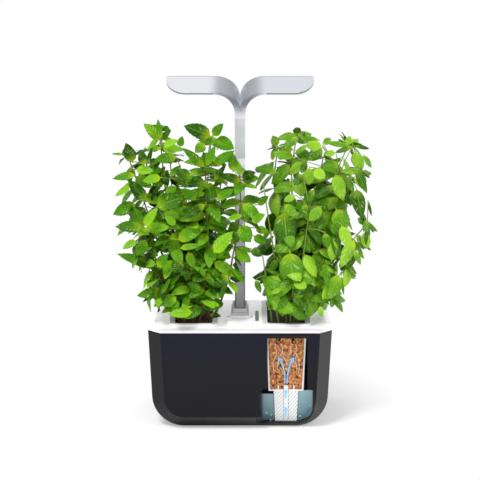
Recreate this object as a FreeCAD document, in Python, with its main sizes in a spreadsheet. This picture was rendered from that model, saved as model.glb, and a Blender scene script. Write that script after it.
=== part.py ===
import FreeCAD, Part
import Sketcher
import math
import os
import random
import re

from FreeCAD import Vector

# Countertop hydroponic garden: a water tank, a lid that carries two plant cartridges, and a leaf shaped lamp on a
# mast. Millimetres, +Z up, +Y towards the back, origin in the middle of the flat face that the tank stands on.

doc = FreeCAD.newDocument("garden")
sizes = doc.addObject("Spreadsheet::Sheet", "Sizes")

DRIVING = {
    # Tank: outside shape, wall and the grip pad that it stands on
    "case_wide": 214, "foot_wide": 202, "case_deep": 130, "case_high": 117, "case_low": 0.6, "case_corner": 38,
    "bevel": 14.5, "back_narrower": 5, "wall": 2.6, "pad_wide": 150, "pad_deep": 76,
    # Clearances: between loose bodies, round a sliding mast, round a push button, round a pin
    "body_gap": 0.4, "slide_gap": 0.4, "button_gap": 0.35, "pin_gap": 0.06,
    # Section window in the tank's front, with the pot's neck above the wide water part
    "view_left": 19, "view_right": 86, "view_low": 4.5, "view_shoulder": 52, "neck_left": 30, "neck_right": 80,
    "view_top": 114.5, "view_corner": 20, "view_ledge": 1.5, "seam": 0.1,
    # Lid
    "lid_edge": 2.6, "lid_slope": 2.7, "slope_run": 6, "lid_wall": 2.4, "lip_deep": 7, "lip_gap": 1, "lip_wall": 2,
    # Cartridges
    "pot_out": 0.5, "pot_wide": 48, "pot_deep": 99, "pot_foot_wide": 41, "pot_foot_deep": 96, "pot_wall": 1.8,
    "pot_low": 40.5, "rim_wide": 4.6, "rim_thick": 1.6, "slot_gap": 0.7, "soil_drop": 5.75, "cut_y": -42.3,
    "cut_top": 113.5, "stand_wide": 29, "stand_foot": 25.5, "stand_deep": 90, "stand_low": 3.9, "felt_wide": 5.6,
    "felt_deep": 86, "felt_gap": 0.3, "felt_rise": 5, "tooth_wide": 1.4, "tooth_high": 5, "tooth_x": 9.2,
    # Lamp socket, mast and sleeve
    "step_wide": 21, "step_deep": 41, "step_high": 6.6, "collar_wide": 18, "collar_deep": 37, "collar_high": 4.6,
    "draft": 0.8, "mast_wide": 12, "mast_deep": 32, "mast_wall": 1.4, "mast_low": 58,
    "sleeve_wall": 2, "sleeve_low": 26, "plug_high": 4, "plug_rise": 8,
    # Lamp head
    "head_top": 398.5, "head_thick": 3.2, "head_deep": 100, "leaf_reach": 86.5, "fork_run": 29, "fork_drop": 24.5,
    "arm_run": 29, "arm_drop": 21.5, "neck_drop": 98.5, "neck_run": 26, "board_x": 52.5, "board_y": 6, "board_wide": 42,
    "board_deep": 62, "board_thick": 1.2, "chip": 3, "chip_thick": 0.7, "cover_high": 3.1, "cover_wall": 1,
    # Filler flap, float gauge, switch and power inlet
    "flap_wide": 30, "flap_deep": 31, "flap_thick": 2.1, "flap_back": -24.6, "hinge_radius": 2, "pin_radius": 1.1,
    "lug_wide": 2.4, "filler_wide": 23, "filler_deep": 21, "gauge_x": 20, "gauge_y": -10, "blade_wide": 3.4,
    "blade_long": 42, "float_wide": 11, "float_long": 34, "float_high": 10, "float_low": 36, "guide_long": 24,
    "guide_wall": 1.2, "block_wide": 11.6, "block_deep": 26, "block_high": 11, "button_radius": 3.8,
    "button_y": 30, "button_high": 2.2, "button_deep": 5, "inlet_radius": 4, "inlet_bore": 2.85, "inlet_deep": 9,
    # Plants
    "stem_radius": 1.3, "leaf_thick": 0.9, "mint_step": 21, "mint_long": 29, "basil_step": 26, "basil_long": 37,
    "leaf_ceiling": 366, "leaf_floor": 132, "stem_clear": 1.95,
}
for row, (word, number) in enumerate(DRIVING.items(), start=1):
    sizes.set(f"A{row}", word)
    sizes.set(f"B{row}", str(number))
    sizes.setAlias(f"B{row}", word)
doc.recompute()
mm = {word: float(sizes.get(word)) for word in DRIVING}
WORD = re.compile(r"[a-z][a-z_]*")
nodes = {}


def linked(formula):
    """The formula with each size's name pointing at its cell in the sheet."""
    return WORD.sub(lambda m: "Sizes." + m.group() if m.group() in DRIVING else m.group(), str(formula))


def bind(item, **formulas):
    """Tie properties to formulas of the sizes; an underscore pair in a name stands for a point."""
    for name, formula in formulas.items():
        item.setExpression(name.replace("__", "."), linked(formula))
    return item


def keep(item, label):
    """Name an object as one finished piece of the garden."""
    item.Label = label
    nodes[label] = item
    return item


# Ready-made pieces of construction

def block(name, wide, deep, low, high, x="0", y="0"):
    """A box, centred on x and y, between two heights."""
    box = doc.addObject("Part::Box", name)
    return bind(box, Length=wide, Width=deep, Height=f"({high})-({low})", Placement__Base__x=f"({x})-({wide})/2",
                Placement__Base__y=f"({y})-({deep})/2", Placement__Base__z=low)


def rod(name, radius, low, high, x="0", y="0"):
    """An upright cylinder between two heights."""
    round_bar = doc.addObject("Part::Cylinder", name)
    return bind(round_bar, Radius=radius, Height=f"({high})-({low})", Placement__Base__x=x, Placement__Base__y=y,
                Placement__Base__z=low)


def axle(name, radius, length, y, z):
    """A cylinder along X, centred on the middle plane."""
    bar = doc.addObject("Part::Cylinder", name)
    bar.Placement.Rotation = FreeCAD.Rotation(Vector(0, 1, 0), 90)
    return bind(bar, Radius=radius, Height=length, Placement__Base__x=f"-({length})/2", Placement__Base__y=y,
                Placement__Base__z=z)


def bore(name, radius, start, end, z):
    """A cylinder along Y between two depths."""
    bar = doc.addObject("Part::Cylinder", name)
    bar.Placement.Rotation = FreeCAD.Rotation(Vector(1, 0, 0), -90)
    return bind(bar, Radius=radius, Height=f"({end})-({start})", Placement__Base__y=start, Placement__Base__z=z)


def joined(name, *items):
    fusion = doc.addObject("Part::MultiFuse", name)
    fusion.Shapes = list(items)
    return fusion


def cut(name, base, tool):
    difference = doc.addObject("Part::Cut", name)
    difference.Base = base
    difference.Tool = tool
    return difference


def shared(name, base, tool):
    overlap = doc.addObject("Part::Common", name)
    overlap.Base = base
    overlap.Tool = tool
    return overlap


def outline(body, name, plane, loops, height="0"):
    """A sketch of closed outlines with every corner placed by formulas of the sizes."""
    sketch = body.newObject("Sketcher::SketchObject", name)
    support = [feature for feature in body.Origin.OriginFeatures if feature.Role == plane][0]
    sketch.AttachmentSupport = [(support, "")]
    sketch.MapMode = "FlatFace"
    bind(sketch, AttachmentOffset__Base__z=height)
    for loop in loops:
        first = sketch.GeometryCount
        count = len(loop)
        ring = [Vector(math.cos(2 * math.pi * k / count), math.sin(2 * math.pi * k / count), 0) * 40
                for k in range(count)]
        for k in range(count):
            sketch.addGeometry(Part.LineSegment(ring[k], ring[(k + 1) % count]), False)
        for k, (across, up) in enumerate(loop):
            line = first + k
            sketch.addConstraint(Sketcher.Constraint("Coincident", line, 2, first + (k + 1) % count, 1))
            for kind, formula in (("DistanceX", across), ("DistanceY", up)):
                index = sketch.addConstraint(Sketcher.Constraint(kind, -1, 1, line, 1, 1.0))
                sketch.setExpression(f"Constraints[{index}]", linked(formula))
    return sketch


def pad(body, sketch, length, midplane=False, reverse=False):
    feature = body.newObject("PartDesign::Pad", sketch.Name + "_pad")
    feature.Profile = sketch
    feature.Midplane = midplane
    feature.Reversed = reverse
    bind(feature, Length=length)
    return feature


def pocket(body, sketch, length, reverse=False):
    feature = body.newObject("PartDesign::Pocket", sketch.Name + "_pocket")
    feature.Profile = sketch
    feature.Reversed = reverse
    bind(feature, Length=length)
    return feature


def edges(feature, test):
    """Names of the edges whose middle point and direction pass a test."""
    found = []
    for number, edge in enumerate(feature.Shape.Edges, start=1):
        middle = edge.valueAt((edge.FirstParameter + edge.LastParameter) / 2)
        along = edge.tangentAt((edge.FirstParameter + edge.LastParameter) / 2)
        if test(middle, along, edge):
            found.append(f"Edge{number}")
    return found


def rounded(body, feature, test, radius, kind="Fillet"):
    """Round or bevel the edges of the last feature that pass a test."""
    doc.recompute()
    dress = body.newObject("PartDesign::" + kind, feature.Name + "_" + kind.lower())
    dress.Base = (feature, edges(feature, test))
    bind(dress, **{"Radius" if kind == "Fillet" else "Size": radius})
    return dress


def box_corners(wide, deep, x="0", y="0", corner="0"):
    """Corner points of a rectangle, each corner turned in four short steps when it has a radius."""
    turns = [0] if corner == "0" else [10, 30, 60, 80]
    points = []
    for a, b in ((-1, -1), (1, -1), (1, 1), (-1, 1)):
        for turn in turns if a == b else reversed(turns):
            inward_x = 0 if corner == "0" else 1 - math.cos(math.radians(turn))
            inward_y = 0 if corner == "0" else 1 - math.sin(math.radians(turn))
            points.append((f"({x})+({a})*(({wide})/2-({corner})*{inward_x:.4f})",
                           f"({y})+({b})*(({deep})/2-({corner})*{inward_y:.4f})"))
    return points


def tapered(name, foot, low, head, high, x="0", y="0", corner="0"):
    """A block that changes evenly from one rectangle to another, given as (wide, deep)."""
    body = doc.addObject("PartDesign::Body", name)
    base = outline(body, name + "_foot", "XY_Plane", [box_corners(*foot, x, y, corner)], low)
    top = outline(body, name + "_head", "XY_Plane", [box_corners(*head, x, y, corner)], high)
    loft = body.newObject("PartDesign::AdditiveLoft", name + "_loft")
    loft.Profile = base
    loft.Sections = [top]
    loft.Ruled = True
    return body


# Tank

def tank_form(name, inset, top):
    """The tank's outside shape, or the same shape drawn in by a distance on every face but the top."""
    body = doc.addObject("PartDesign::Body", name)
    front = outline(body, name + "_front", "XZ_Plane", [[
        (f"-foot_wide/2+({inset})", f"case_low+({inset})"), (f"foot_wide/2-({inset})", f"case_low+({inset})"),
        (f"case_wide/2-({inset})", top), (f"-case_wide/2+({inset})", top)]])
    bulk = pad(body, front, f"case_deep-2*({inset})", midplane=True)
    bulk = rounded(body, bulk, lambda middle, along, edge: abs(along.y) > 0.9 and middle.z < 20,
                   f"case_corner-({inset})")
    front_y = -mm["case_deep"] / 2 + 6
    bulk = rounded(body, bulk, lambda middle, along, edge: middle.y < front_y and abs(along.y) < 0.1
                   and not (abs(along.x) > 0.9 and middle.z > 60), f"bevel-0.586*({inset})", "Chamfer")
    wedge = outline(body, name + "_sides", "XY_Plane", [
        [(f"{side}*(case_wide/2-({inset}))", "-case_deep/4"), (f"{side}*(case_wide/2+20)", "-case_deep/4"),
         (f"{side}*(case_wide/2+20)", "case_deep/2+1"),
         (f"{side}*(case_wide/2-back_narrower-({inset}))", "case_deep/2+1")] for side in (-1, 1)], "case_high+20")
    pocket(body, wedge, "case_high+40")
    return body


def view_form(name, grow):
    """A block through the tank's front wall in the window's outline, larger all round by a distance."""
    body = doc.addObject("PartDesign::Body", name)
    loop = [(f"view_left-({grow})", f"view_low-({grow})"), (f"view_right+({grow})", f"view_low-({grow})"),
            (f"view_right+({grow})", f"view_shoulder+({grow})"), (f"neck_right+({grow})", f"view_shoulder+({grow})"),
            (f"neck_right+({grow})", f"view_top+({grow})"), (f"neck_left-({grow})", f"view_top+({grow})"),
            (f"neck_left-({grow})", f"view_shoulder+({grow})"), (f"view_left-({grow})", f"view_shoulder+({grow})")]
    through = pad(body, outline(body, name + "_front", "XZ_Plane", [loop], "case_deep/2-14"), "20")
    rounded(body, through, lambda middle, along, edge: abs(along.y) > 0.9 and middle.z < 20 and middle.x > 60,
            f"view_corner+({grow})")
    return body


case_outside = tank_form("case_outside", "0", "case_high")
case_inside = tank_form("case_inside", "wall", "case_high+5")
case_middle = tank_form("case_middle", "wall/2", "case_high+5")
outer_skin = cut("outer_skin", case_outside, case_middle)
pane = keep(shared("pane", outer_skin, view_form("pane_form", "0")), "section_window")
rebate = shared("rebate", cut("outer_skin_copy", case_outside, case_middle), view_form("rebate_form", "seam"))
pad_recess = block("pad_recess", "pad_wide+2*body_gap", "pad_deep+2*body_gap", "-1", "case_low+0.6")
openings = joined("openings", rebate, view_form("sight_form", "-view_ledge"), pad_recess)
keep(cut("tank", cut("tank_shell", case_outside, case_inside), openings), "reservoir")
keep(block("pad_block", "pad_wide", "pad_deep", "0", "case_low+0.6"), "grip_pad")

POT_X = "(case_wide/4+pot_out)"

# Lid

LID_LOW = "case_high+body_gap"
LID_TOP = "case_high+body_gap+lid_edge+lid_slope"
LID_UNDER = f"{LID_TOP}-lid_wall"


def lid_loop(inset):
    """The lid's plan outline: bevelled front corners, sides that close in towards the back."""
    back = f"case_wide/2-back_narrower-({inset})"
    return [(f"-case_wide/2+bevel-0.414*({inset})+({inset})", f"-case_deep/2+({inset})"),
            (f"case_wide/2-bevel+0.414*({inset})-({inset})", f"-case_deep/2+({inset})"),
            (f"case_wide/2-({inset})", f"-case_deep/2+bevel-0.414*({inset})+({inset})"),
            (f"{back}", f"case_deep/2-4+0.414*({inset})-({inset})"), (f"{back}-4", f"case_deep/2-({inset})"),
            (f"-({back}-4)", f"case_deep/2-({inset})"), (f"-({back})", f"case_deep/2-4+0.414*({inset})-({inset})"),
            (f"-case_wide/2+({inset})", f"-case_deep/2+bevel-0.414*({inset})+({inset})")]


plate = doc.addObject("PartDesign::Body", "lid_plate")
edge_line = outline(plate, "lid_edge_line", "XY_Plane", [lid_loop("0")], f"{LID_LOW}+lid_edge")
crest_line = outline(plate, "lid_crest_line", "XY_Plane", [lid_loop("slope_run")], LID_TOP)
slope = plate.newObject("PartDesign::AdditiveLoft", "lid_slope_loft")
slope.Profile = edge_line
slope.Sections = [crest_line]
slope.Ruled = True
pad(plate, outline(plate, "lid_rim_line", "XY_Plane", [lid_loop("0")], LID_LOW), "lid_edge")
hollow = outline(plate, "lid_hollow_line", "XY_Plane", [lid_loop("lid_wall+1.2")], LID_LOW)
pocket(plate, hollow, f"{LID_UNDER}-({LID_LOW})", reverse=True)
lip_out = "wall+lip_gap"
lip = outline(plate, "lid_lip_line", "XY_Plane", [lid_loop(lip_out), lid_loop(f"{lip_out}+lip_wall")],
              f"{LID_LOW}-lip_deep")
pad(plate, lip, f"lip_deep+{LID_UNDER}-({LID_LOW})+0.2")


def slotted(name, wide, long, low, high, x, y):
    """An upright block with round ends, longest along Y."""
    ends = [rod(f"{name}_end_{tag}", f"({wide})/2", low, high, x, f"({y})+({sign})*(({long})-({wide}))/2")
            for tag, sign in (("front", -1), ("back", 1))]
    return joined(name, block(name + "_middle", wide, f"({long})-({wide})", low, high, x, y), *ends)


slots = [block(f"slot_{side}", "pot_wide+2*slot_gap", "pot_deep+2*slot_gap", "case_high-20", "case_high+20",
               f"{sign}*{POT_X}") for side, sign in (("left", -1), ("right", 1))]
mast_hole = block("mast_hole", "mast_wide+2*slide_gap", "mast_deep+2*slide_gap", "case_high-20", "case_high+20")
filler_y = "flap_back-flap_deep/2-1"
filler_hole = block("filler_hole", "filler_wide", "filler_deep", "case_high-20", "case_high+20", "0", filler_y)
gauge_hole = slotted("gauge_hole", "blade_wide+2*body_gap", "blade_long+2*body_gap", "case_high-20",
                     "case_high+20", "gauge_x", "gauge_y")
HINGE_Z = f"{LID_TOP}+body_gap+hinge_radius"
HINGE_Y = "flap_back+hinge_radius-1.1"
lugs = [block(f"lug_{side}", "lug_wide", "2*hinge_radius+0.4", f"{LID_TOP}-1", f"{HINGE_Z}+hinge_radius+0.1",
              f"{sign}*(flap_wide/2+body_gap+lug_wide/2)", HINGE_Y) for side, sign in (("left", -1), ("right", 1))]
pin_hole = axle("pin_hole", "pin_radius+pin_gap", "flap_wide+4*lug_wide", HINGE_Y, HINGE_Z)
lid_solid = cut("lid_open", joined("lid_whole", plate, *lugs),
                joined("lid_openings", *slots, mast_hole, filler_hole, gauge_hole, pin_hole))
keep(lid_solid, "lid")
keep(axle("flap_pin_bar", "pin_radius", "flap_wide+2*lug_wide", HINGE_Y, HINGE_Z), "flap_pin")

# Lamp socket, mast sleeve, gauge guide, inlet block with its inlet

STEP_TOP = f"{LID_TOP}+step_high"
SOCKET_TOP = f"{STEP_TOP}+collar_high"
step = tapered("socket_step", ("step_wide", "step_deep"), LID_TOP, ("step_wide-draft", "step_deep-draft"), STEP_TOP,
               corner="1.5")
collar = tapered("socket_collar", ("collar_wide", "collar_deep"), f"{STEP_TOP}-0.5",
                 ("collar_wide-draft", "collar_deep-draft"), SOCKET_TOP, corner="1.5")
socket_hole = block("socket_hole", "mast_wide+2*slide_gap", "mast_deep+2*slide_gap", "case_high", "case_high+60")
keep(cut("socket", joined("socket_whole", step, collar), socket_hole), "mast_socket")
sleeve_wide = "mast_wide+2*slide_gap+2*sleeve_wall"
sleeve_deep = "mast_deep+2*slide_gap+2*sleeve_wall"
sleeve_out = tapered("sleeve_out", (sleeve_wide, sleeve_deep), "sleeve_low", (sleeve_wide, sleeve_deep), LID_UNDER,
                     corner="2.5")
sleeve_in = block("sleeve_in", "mast_wide+2*slide_gap", "mast_deep+2*slide_gap", "sleeve_low+sleeve_wall",
                  "case_high+40")
keep(cut("sleeve", sleeve_out, sleeve_in), "mast_sleeve")
guide_out = slotted("guide_out", "blade_wide+2*body_gap+2*guide_wall", "blade_long+2*body_gap+2*guide_wall",
                    f"{LID_UNDER}-guide_long", LID_UNDER, "gauge_x", "gauge_y")
guide_in = slotted("guide_in", "blade_wide+2*body_gap", "blade_long+2*body_gap", "0", "case_high+40", "gauge_x",
                   "gauge_y")
keep(cut("guide", guide_out, guide_in), "gauge_guide")

BLOCK_Y = "step_deep/2+block_deep/2"
BLOCK_END = "step_deep/2+block_deep"
BLOCK_TOP = f"{LID_TOP}+block_high"
INLET_Z = f"{LID_TOP}+block_high/2"
shell = tapered("block_shell", ("block_wide", "block_deep"), LID_TOP, ("block_wide", "block_deep"), BLOCK_TOP, "0",
                BLOCK_Y)
button_well = rod("button_well", "button_radius+button_gap", f"{BLOCK_TOP}-button_deep-2", f"{BLOCK_TOP}+5", "0",
                  "button_y")
inlet_hole = bore("inlet_hole", "inlet_radius", f"{BLOCK_END}-inlet_deep-1.5", f"{BLOCK_END}+5", INLET_Z)
keep(cut("block_open", shell, joined("block_holes", button_well, inlet_hole)), "inlet_block")
barrel = cut("barrel", bore("barrel_out", "inlet_radius", f"{BLOCK_END}-inlet_deep-1.5", BLOCK_END, INLET_Z),
             bore("barrel_in", "inlet_bore", f"{BLOCK_END}-inlet_deep", f"{BLOCK_END}+5", INLET_Z))
keep(barrel, "power_inlet")
keep(rod("button_bar", "button_radius", f"{BLOCK_TOP}-button_deep", f"{BLOCK_TOP}+button_high", "0", "button_y"),
     "power_button")

# Filler flap, float and gauge

FLAP_LOW = f"{LID_TOP}+body_gap+0.4"
flap_plate = tapered("flap_plate", ("flap_wide", "flap_deep"), FLAP_LOW, ("flap_wide-1", "flap_deep-1"),
                     f"{FLAP_LOW}+flap_thick", "0", "flap_back-flap_deep/2", "3")
flap_barrel = axle("flap_barrel", "hinge_radius", "flap_wide-7", HINGE_Y, HINGE_Z)
flap_hole = axle("flap_hole", "pin_radius+pin_gap", "flap_wide+4", HINGE_Y, HINGE_Z)
keep(cut("flap", joined("flap_whole", flap_plate, flap_barrel), flap_hole), "filler_flap")
FLOAT_TOP = "float_low+float_high"
keep(slotted("float_body", "float_wide", "float_long", "float_low", FLOAT_TOP, "gauge_x", "gauge_y"), "float_body")
keep(slotted("blade", "blade_wide", "blade_long", FLOAT_TOP, f"{LID_TOP}+0.6", "gauge_x", "gauge_y"),
     "gauge_blade")

MAST_TOP = "head_top-neck_drop"

# Lamp: mast with its plug, forked head, two light boards with their chips and covers

mast_out = tapered("mast_out", ("mast_wide", "mast_deep"), "mast_low", ("mast_wide", "mast_deep"), MAST_TOP,
                   corner="2")
mast_in = block("mast_in", "mast_wide-2*mast_wall", "mast_deep-2*mast_wall", "0", f"{MAST_TOP}+10")
keep(cut("mast_tube", mast_out, mast_in), "mast")
plug_foot = tapered("plug_foot", ("mast_wide", "mast_deep"), "mast_low-plug_high", ("mast_wide", "mast_deep"),
                    "mast_low", corner="2")
plug_core = block("plug_core", "mast_wide-2*mast_wall-0.2", "mast_deep-2*mast_wall-0.2", "mast_low-0.5",
                  "mast_low+plug_rise")
keep(joined("plug", plug_foot, plug_core), "mast_plug")


def quarter(run, drop, low, steps=8):
    """Formulas for a quarter of an ellipse that leaves the plates level and turns down at the mast."""
    points = []
    for k in range(steps + 1):
        turn = math.radians(90 * k / steps)
        points.append((f"({low})+({run})*{1 - math.sin(turn):.4f}", f"-({drop})*{1 - math.cos(turn):.4f}"))
    return points


def head_loop():
    """The forked head's outline seen from the front, from the left tip round to the same tip."""
    above = [(x, f"head_top+({z})") for x, z in quarter("fork_run", "fork_drop", "0")][:-1]
    under = [(x, f"head_top-head_thick+({z})") for x, z in quarter("arm_run-mast_wide/2", "arm_drop", "mast_wide/2")]
    half = [("0", "head_top-fork_drop")]
    right_top = [(x, z) for x, z in reversed(above)]
    outer = [("leaf_reach+5", "head_top"), ("leaf_reach+5", "head_top-head_thick")]
    foot = [("mast_wide/2", MAST_TOP)]
    right = right_top + outer + under + foot
    left = [(f"-({x})", z) for x, z in reversed(right)]
    return half + right + left


head = doc.addObject("PartDesign::Body", "head")
pad(head, outline(head, "head_front", "XZ_Plane", [head_loop()]), "head_deep", midplane=True)
leaf_front = doc.addObject("PartDesign::Body", "leaf_plan")


def leaf_loop():
    """The head's outline seen from above: straight back edge, tips swept forwards in an arc."""
    right = [("leaf_reach-3", "head_deep/2"), ("leaf_reach", "head_deep/2-4")]
    for k in range(1, 9):
        turn = math.radians(90 * k / 8)
        right.append((f"leaf_reach-24*{1 - math.cos(turn):.4f}", f"head_deep/2-4-(head_deep-4)*{math.sin(turn):.4f}"))
    left = [(f"-({x})", y) for x, y in reversed(right)]
    return left + right


pad(leaf_front, outline(leaf_front, "leaf_outline", "XY_Plane", [leaf_loop()], f"{MAST_TOP}-5"), "neck_drop+20")
taper = doc.addObject("PartDesign::Body", "head_side")
side = [("-mast_deep/2", f"{MAST_TOP}-1"), ("mast_deep/2", f"{MAST_TOP}-1"), ("mast_deep/2+2", f"{MAST_TOP}+14"),
        ("head_deep/2-4", "head_top-neck_run-6"), ("head_deep/2+1", "head_top-neck_run+8"),
        ("head_deep/2+1", "head_top+5"), ("-head_deep/2-1", "head_top+5"),
        ("-head_deep/2-1", "head_top-neck_run+8"), ("-head_deep/2+4", "head_top-neck_run-6"),
        ("-mast_deep/2-2", f"{MAST_TOP}+14")]
pad(taper, outline(taper, "head_side_line", "YZ_Plane", [side]), "2*leaf_reach+20", midplane=True)
keep(shared("head_whole", shared("head_leafed", head, leaf_front), taper), "lamp_head")

BOARD_TOP = "head_top-head_thick"
for side, sign in (("left", -1), ("right", 1)):
    x = f"{sign}*board_x"
    keep(block(f"board_{side}", "board_wide", "board_deep", f"{BOARD_TOP}-board_thick", BOARD_TOP, x, "board_y"),
         f"led_board_{side}")
    chips = [block(f"chip_{side}_{i}_{j}", "chip", "chip", f"{BOARD_TOP}-board_thick-chip_thick",
                   f"{BOARD_TOP}-board_thick", f"{x}+({i - 1})*board_wide/3", f"board_y+({j - 1.5})*board_deep/4")
             for i in range(3) for j in range(4)]
    together = doc.addObject("Part::Compound", f"chips_{side}")
    together.Links = chips
    keep(together, f"led_chips_{side}")
    cover_out = tapered(f"cover_out_{side}", ("board_wide+2", "board_deep+2"), f"{BOARD_TOP}-cover_high",
                        ("board_wide+4", "board_deep+4"), BOARD_TOP, x, "board_y", "2")
    cover_in = block(f"cover_in_{side}", "board_wide+0.4", "board_deep+0.4", f"{BOARD_TOP}-cover_high+cover_wall",
                     f"{BOARD_TOP}+5", x, "board_y")
    keep(cut(f"cover_{side}", cover_out, cover_in), f"light_cover_{side}")

# Cartridges: pot, soil, wick stand and felt; the right one is sectioned behind the window

RIM_LOW = f"{LID_TOP}+body_gap"
RIM_TOP = f"{RIM_LOW}+rim_thick"
SOIL_TOP = f"{RIM_TOP}-soil_drop"


def cartridge(side, x):
    """One cartridge's pieces, hanging by the rim from the lid."""
    sectioned = side == "right"
    rim = tapered(f"rim_{side}", ("pot_wide+2*rim_wide", "pot_deep+2*rim_wide"), RIM_LOW,
                  ("pot_wide+2*rim_wide-1", "pot_deep+2*rim_wide-1"), RIM_TOP, x, "0", "8")
    cup = tapered(f"cup_{side}", ("pot_foot_wide", "pot_foot_deep"), "pot_low", ("pot_wide", "pot_deep"),
                  f"{RIM_LOW}+0.5", x, "0", "6")
    room = tapered(f"room_{side}", ("pot_foot_wide-2*pot_wall", "pot_foot_deep-2*pot_wall"), "pot_low+pot_wall",
                   ("pot_wide-2*pot_wall", "pot_deep-2*pot_wall"), f"{RIM_TOP}+0.5", x, "0", "5")
    soil_bulk = tapered(f"soil_{side}", ("pot_foot_wide-2*pot_wall-0.2", "pot_foot_deep-2*pot_wall-0.2"),
                        "pot_low+pot_wall", ("pot_wide-2*pot_wall-0.2", "pot_deep-2*pot_wall-0.2"),
                        f"{RIM_TOP}+0.5", x, "0", "5")
    soil_form = shared(f"soil_{side}_level", soil_bulk, block(f"soil_{side}_reach", "100", "200",
                       "pot_low+pot_wall+0.05", SOIL_TOP, x))
    stand_form = tapered(f"stand_{side}", ("stand_foot", "stand_deep-2"), "stand_low", ("stand_wide", "stand_deep"),
                         "pot_low", x, "0", "2")
    felt_form = block(f"felt_{side}", "felt_wide", "felt_deep", "stand_low+1.5", "pot_low+pot_wall+felt_rise", x)
    felt_room = block(f"felt_room_{side}", "felt_wide+2*felt_gap", "felt_deep+2*felt_gap", "stand_low+1.2",
                      "pot_low+pot_wall+felt_rise+0.1", x)
    teeth = [block(f"tooth_{side}_{k}", "tooth_wide", "pot_foot_deep-8", "pot_low+pot_wall-0.5",
                   "pot_low+pot_wall+tooth_high", f"{x}+({k})*tooth_x") for k in (-1, 1)]
    teeth_room = [block(f"tooth_room_{side}_{k}", "tooth_wide+0.1", "pot_foot_deep-7.8", "pot_low",
                        "pot_low+pot_wall+tooth_high+0.1", f"{x}+({k})*tooth_x") for k in (-1, 1)]
    window = [block(f"stand_port_{side}_{k}", "stand_wide+4", "8", "stand_low+4", "stand_low+20", x, f"{y}")
              for k, y in enumerate((-22, 0, 22))]
    ports = joined(f"stand_room_{side}", felt_room, *window)
    pot = cut(f"pot_{side}_open", joined(f"pot_{side}_whole", cut(f"pot_{side}_hollow",
              joined(f"pot_{side}_form", rim, cup), room), *teeth), felt_room)
    soil = cut(f"soil_{side}_open", soil_form, joined(f"soil_room_{side}", felt_room, *teeth_room))
    stand = cut(f"stand_{side}_open", stand_form, ports)
    felt = felt_form
    if sectioned:
        front = block("section_cut", "80", "40", "0", "cut_top", x, "cut_y-20")
        pot, soil, stand, felt = [cut(f"section_{k}", item, front)
                                  for k, item in enumerate((pot, soil, stand, felt))]
    keep(pot, f"pot_{side}")
    keep(soil, f"soil_{side}")
    keep(stand, f"wick_stand_{side}")
    keep(felt, f"wick_felt_{side}")


cartridge("left", f"-{POT_X}")
cartridge("right", POT_X)

# Plants: stems through chosen points, with leaves in crossed pairs along them

MINT_STEMS = [
    [(-62, 0, 119), (-75, 0, 200), (-88, 0, 280), (-94, 0, 346)],
    [(-66, -12, 119), (-95, -12, 210), (-120, -15, 288), (-130, -15, 317)],
    [(-60, 20, 119), (-85, 25, 220), (-107, 25, 288), (-114, 25, 312)],
    [(-42, -6, 119), (-38, -12, 200), (-38, -14, 280), (-34, -12, 330)],
    [(-37, -36, 119), (-35, -38, 180), (-37, -38, 225), (-40, -37, 302)],
    [(-38, -40, 119), (-24, -40, 143), (-13, -40, 177), (-3, -38, 232), (1, -34, 266), (-1, -31, 304)],
    [(-70, -22, 119), (-95, -25, 180), (-118, -28, 228), (-129, -28, 252)],
    [(-68, 8, 119), (-88, 14, 165), (-110, 16, 205), (-121, 16, 230)],
    [(-68, -36, 119), (-84, -40, 160), (-97, -42, 185), (-117, -42, 204)],
    [(-68, -32, 119), (-82, -42, 138), (-95, -45, 152), (-104, -45, 156)],
    [(-56, 30, 119), (-70, 32, 200), (-80, 30, 262), (-82, 30, 302)],
    [(-50, -28, 119), (-55, -32, 180), (-60, -30, 240), (-64, -28, 288)],
    [(-48, 4, 119), (-52, 0, 180), (-56, -6, 230), (-60, -8, 266)],
    [(-64, -34, 119), (-70, -38, 160), (-76, -38, 205), (-80, -36, 238)],
    [(-45, 25, 119), (-34, 27, 180), (-26, 29, 240), (-20, 28, 300)],
    [(-54, -40, 119), (-56, -44, 150), (-58, -46, 190)],
    [(-48, -38, 119), (-43, -46, 150), (-39, -50, 182)],
    [(-62, -40, 119), (-73, -49, 142), (-86, -53, 166)],
]
BASIL_STEMS = [
    [(58, 0, 119), (62, 0, 220), (60, 0, 300), (66, 0, 338)],
    [(66, 10, 119), (85, 12, 220), (112, 14, 290), (127, 14, 324)],
    [(66, -26, 119), (81, -28, 165), (92, -26, 208), (108, -24, 262), (115, -22, 296)],
    [(64, -12, 119), (95, -18, 215), (126, -20, 280), (141, -20, 298)],
    [(66, -18, 119), (105, -26, 180), (130, -28, 218), (148, -28, 240)],
    [(65, -34, 119), (92, -40, 140), (108, -42, 156)],
    [(54, -38, 119), (54, -41, 200), (55, -42, 252)],
    [(38, -36, 119), (34, -41, 150), (30, -43, 178), (26, -43, 206)],
    [(45, 10, 119), (42, 12, 220), (40, 14, 285), (44, 14, 322)],
    [(60, 26, 119), (75, 28, 210), (90, 28, 268), (98, 28, 306)],
    [(47, -20, 119), (40, -26, 200), (32, -28, 252), (27, -28, 286)],
    [(62, -38, 119), (70, -41, 180), (76, -42, 225), (80, -40, 260)],
    [(65, 30, 119), (95, 34, 200), (118, 34, 250), (130, 34, 278)],
    [(64, -39, 119), (86, -44, 165), (98, -44, 196)],
    [(58, -40, 119), (60, -50, 150), (62, -52, 178)],
    [(46, -40, 119), (42, -49, 142), (37, -53, 166)],
    [(68, 2, 119), (110, 6, 182), (138, 6, 208)],
    [(66, -30, 119), (98, -43, 165), (126, -45, 192)],
]
SIDES = 6


def direction(angle, axis):
    """A unit vector square to an axis, turned about it by an angle in degrees from the front."""
    side = axis.cross(Vector(0, -1, 0)).normalize()
    front = side.cross(axis).normalize()
    turn = math.radians(angle)
    return front * math.cos(turn) + side * math.sin(turn)


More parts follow.
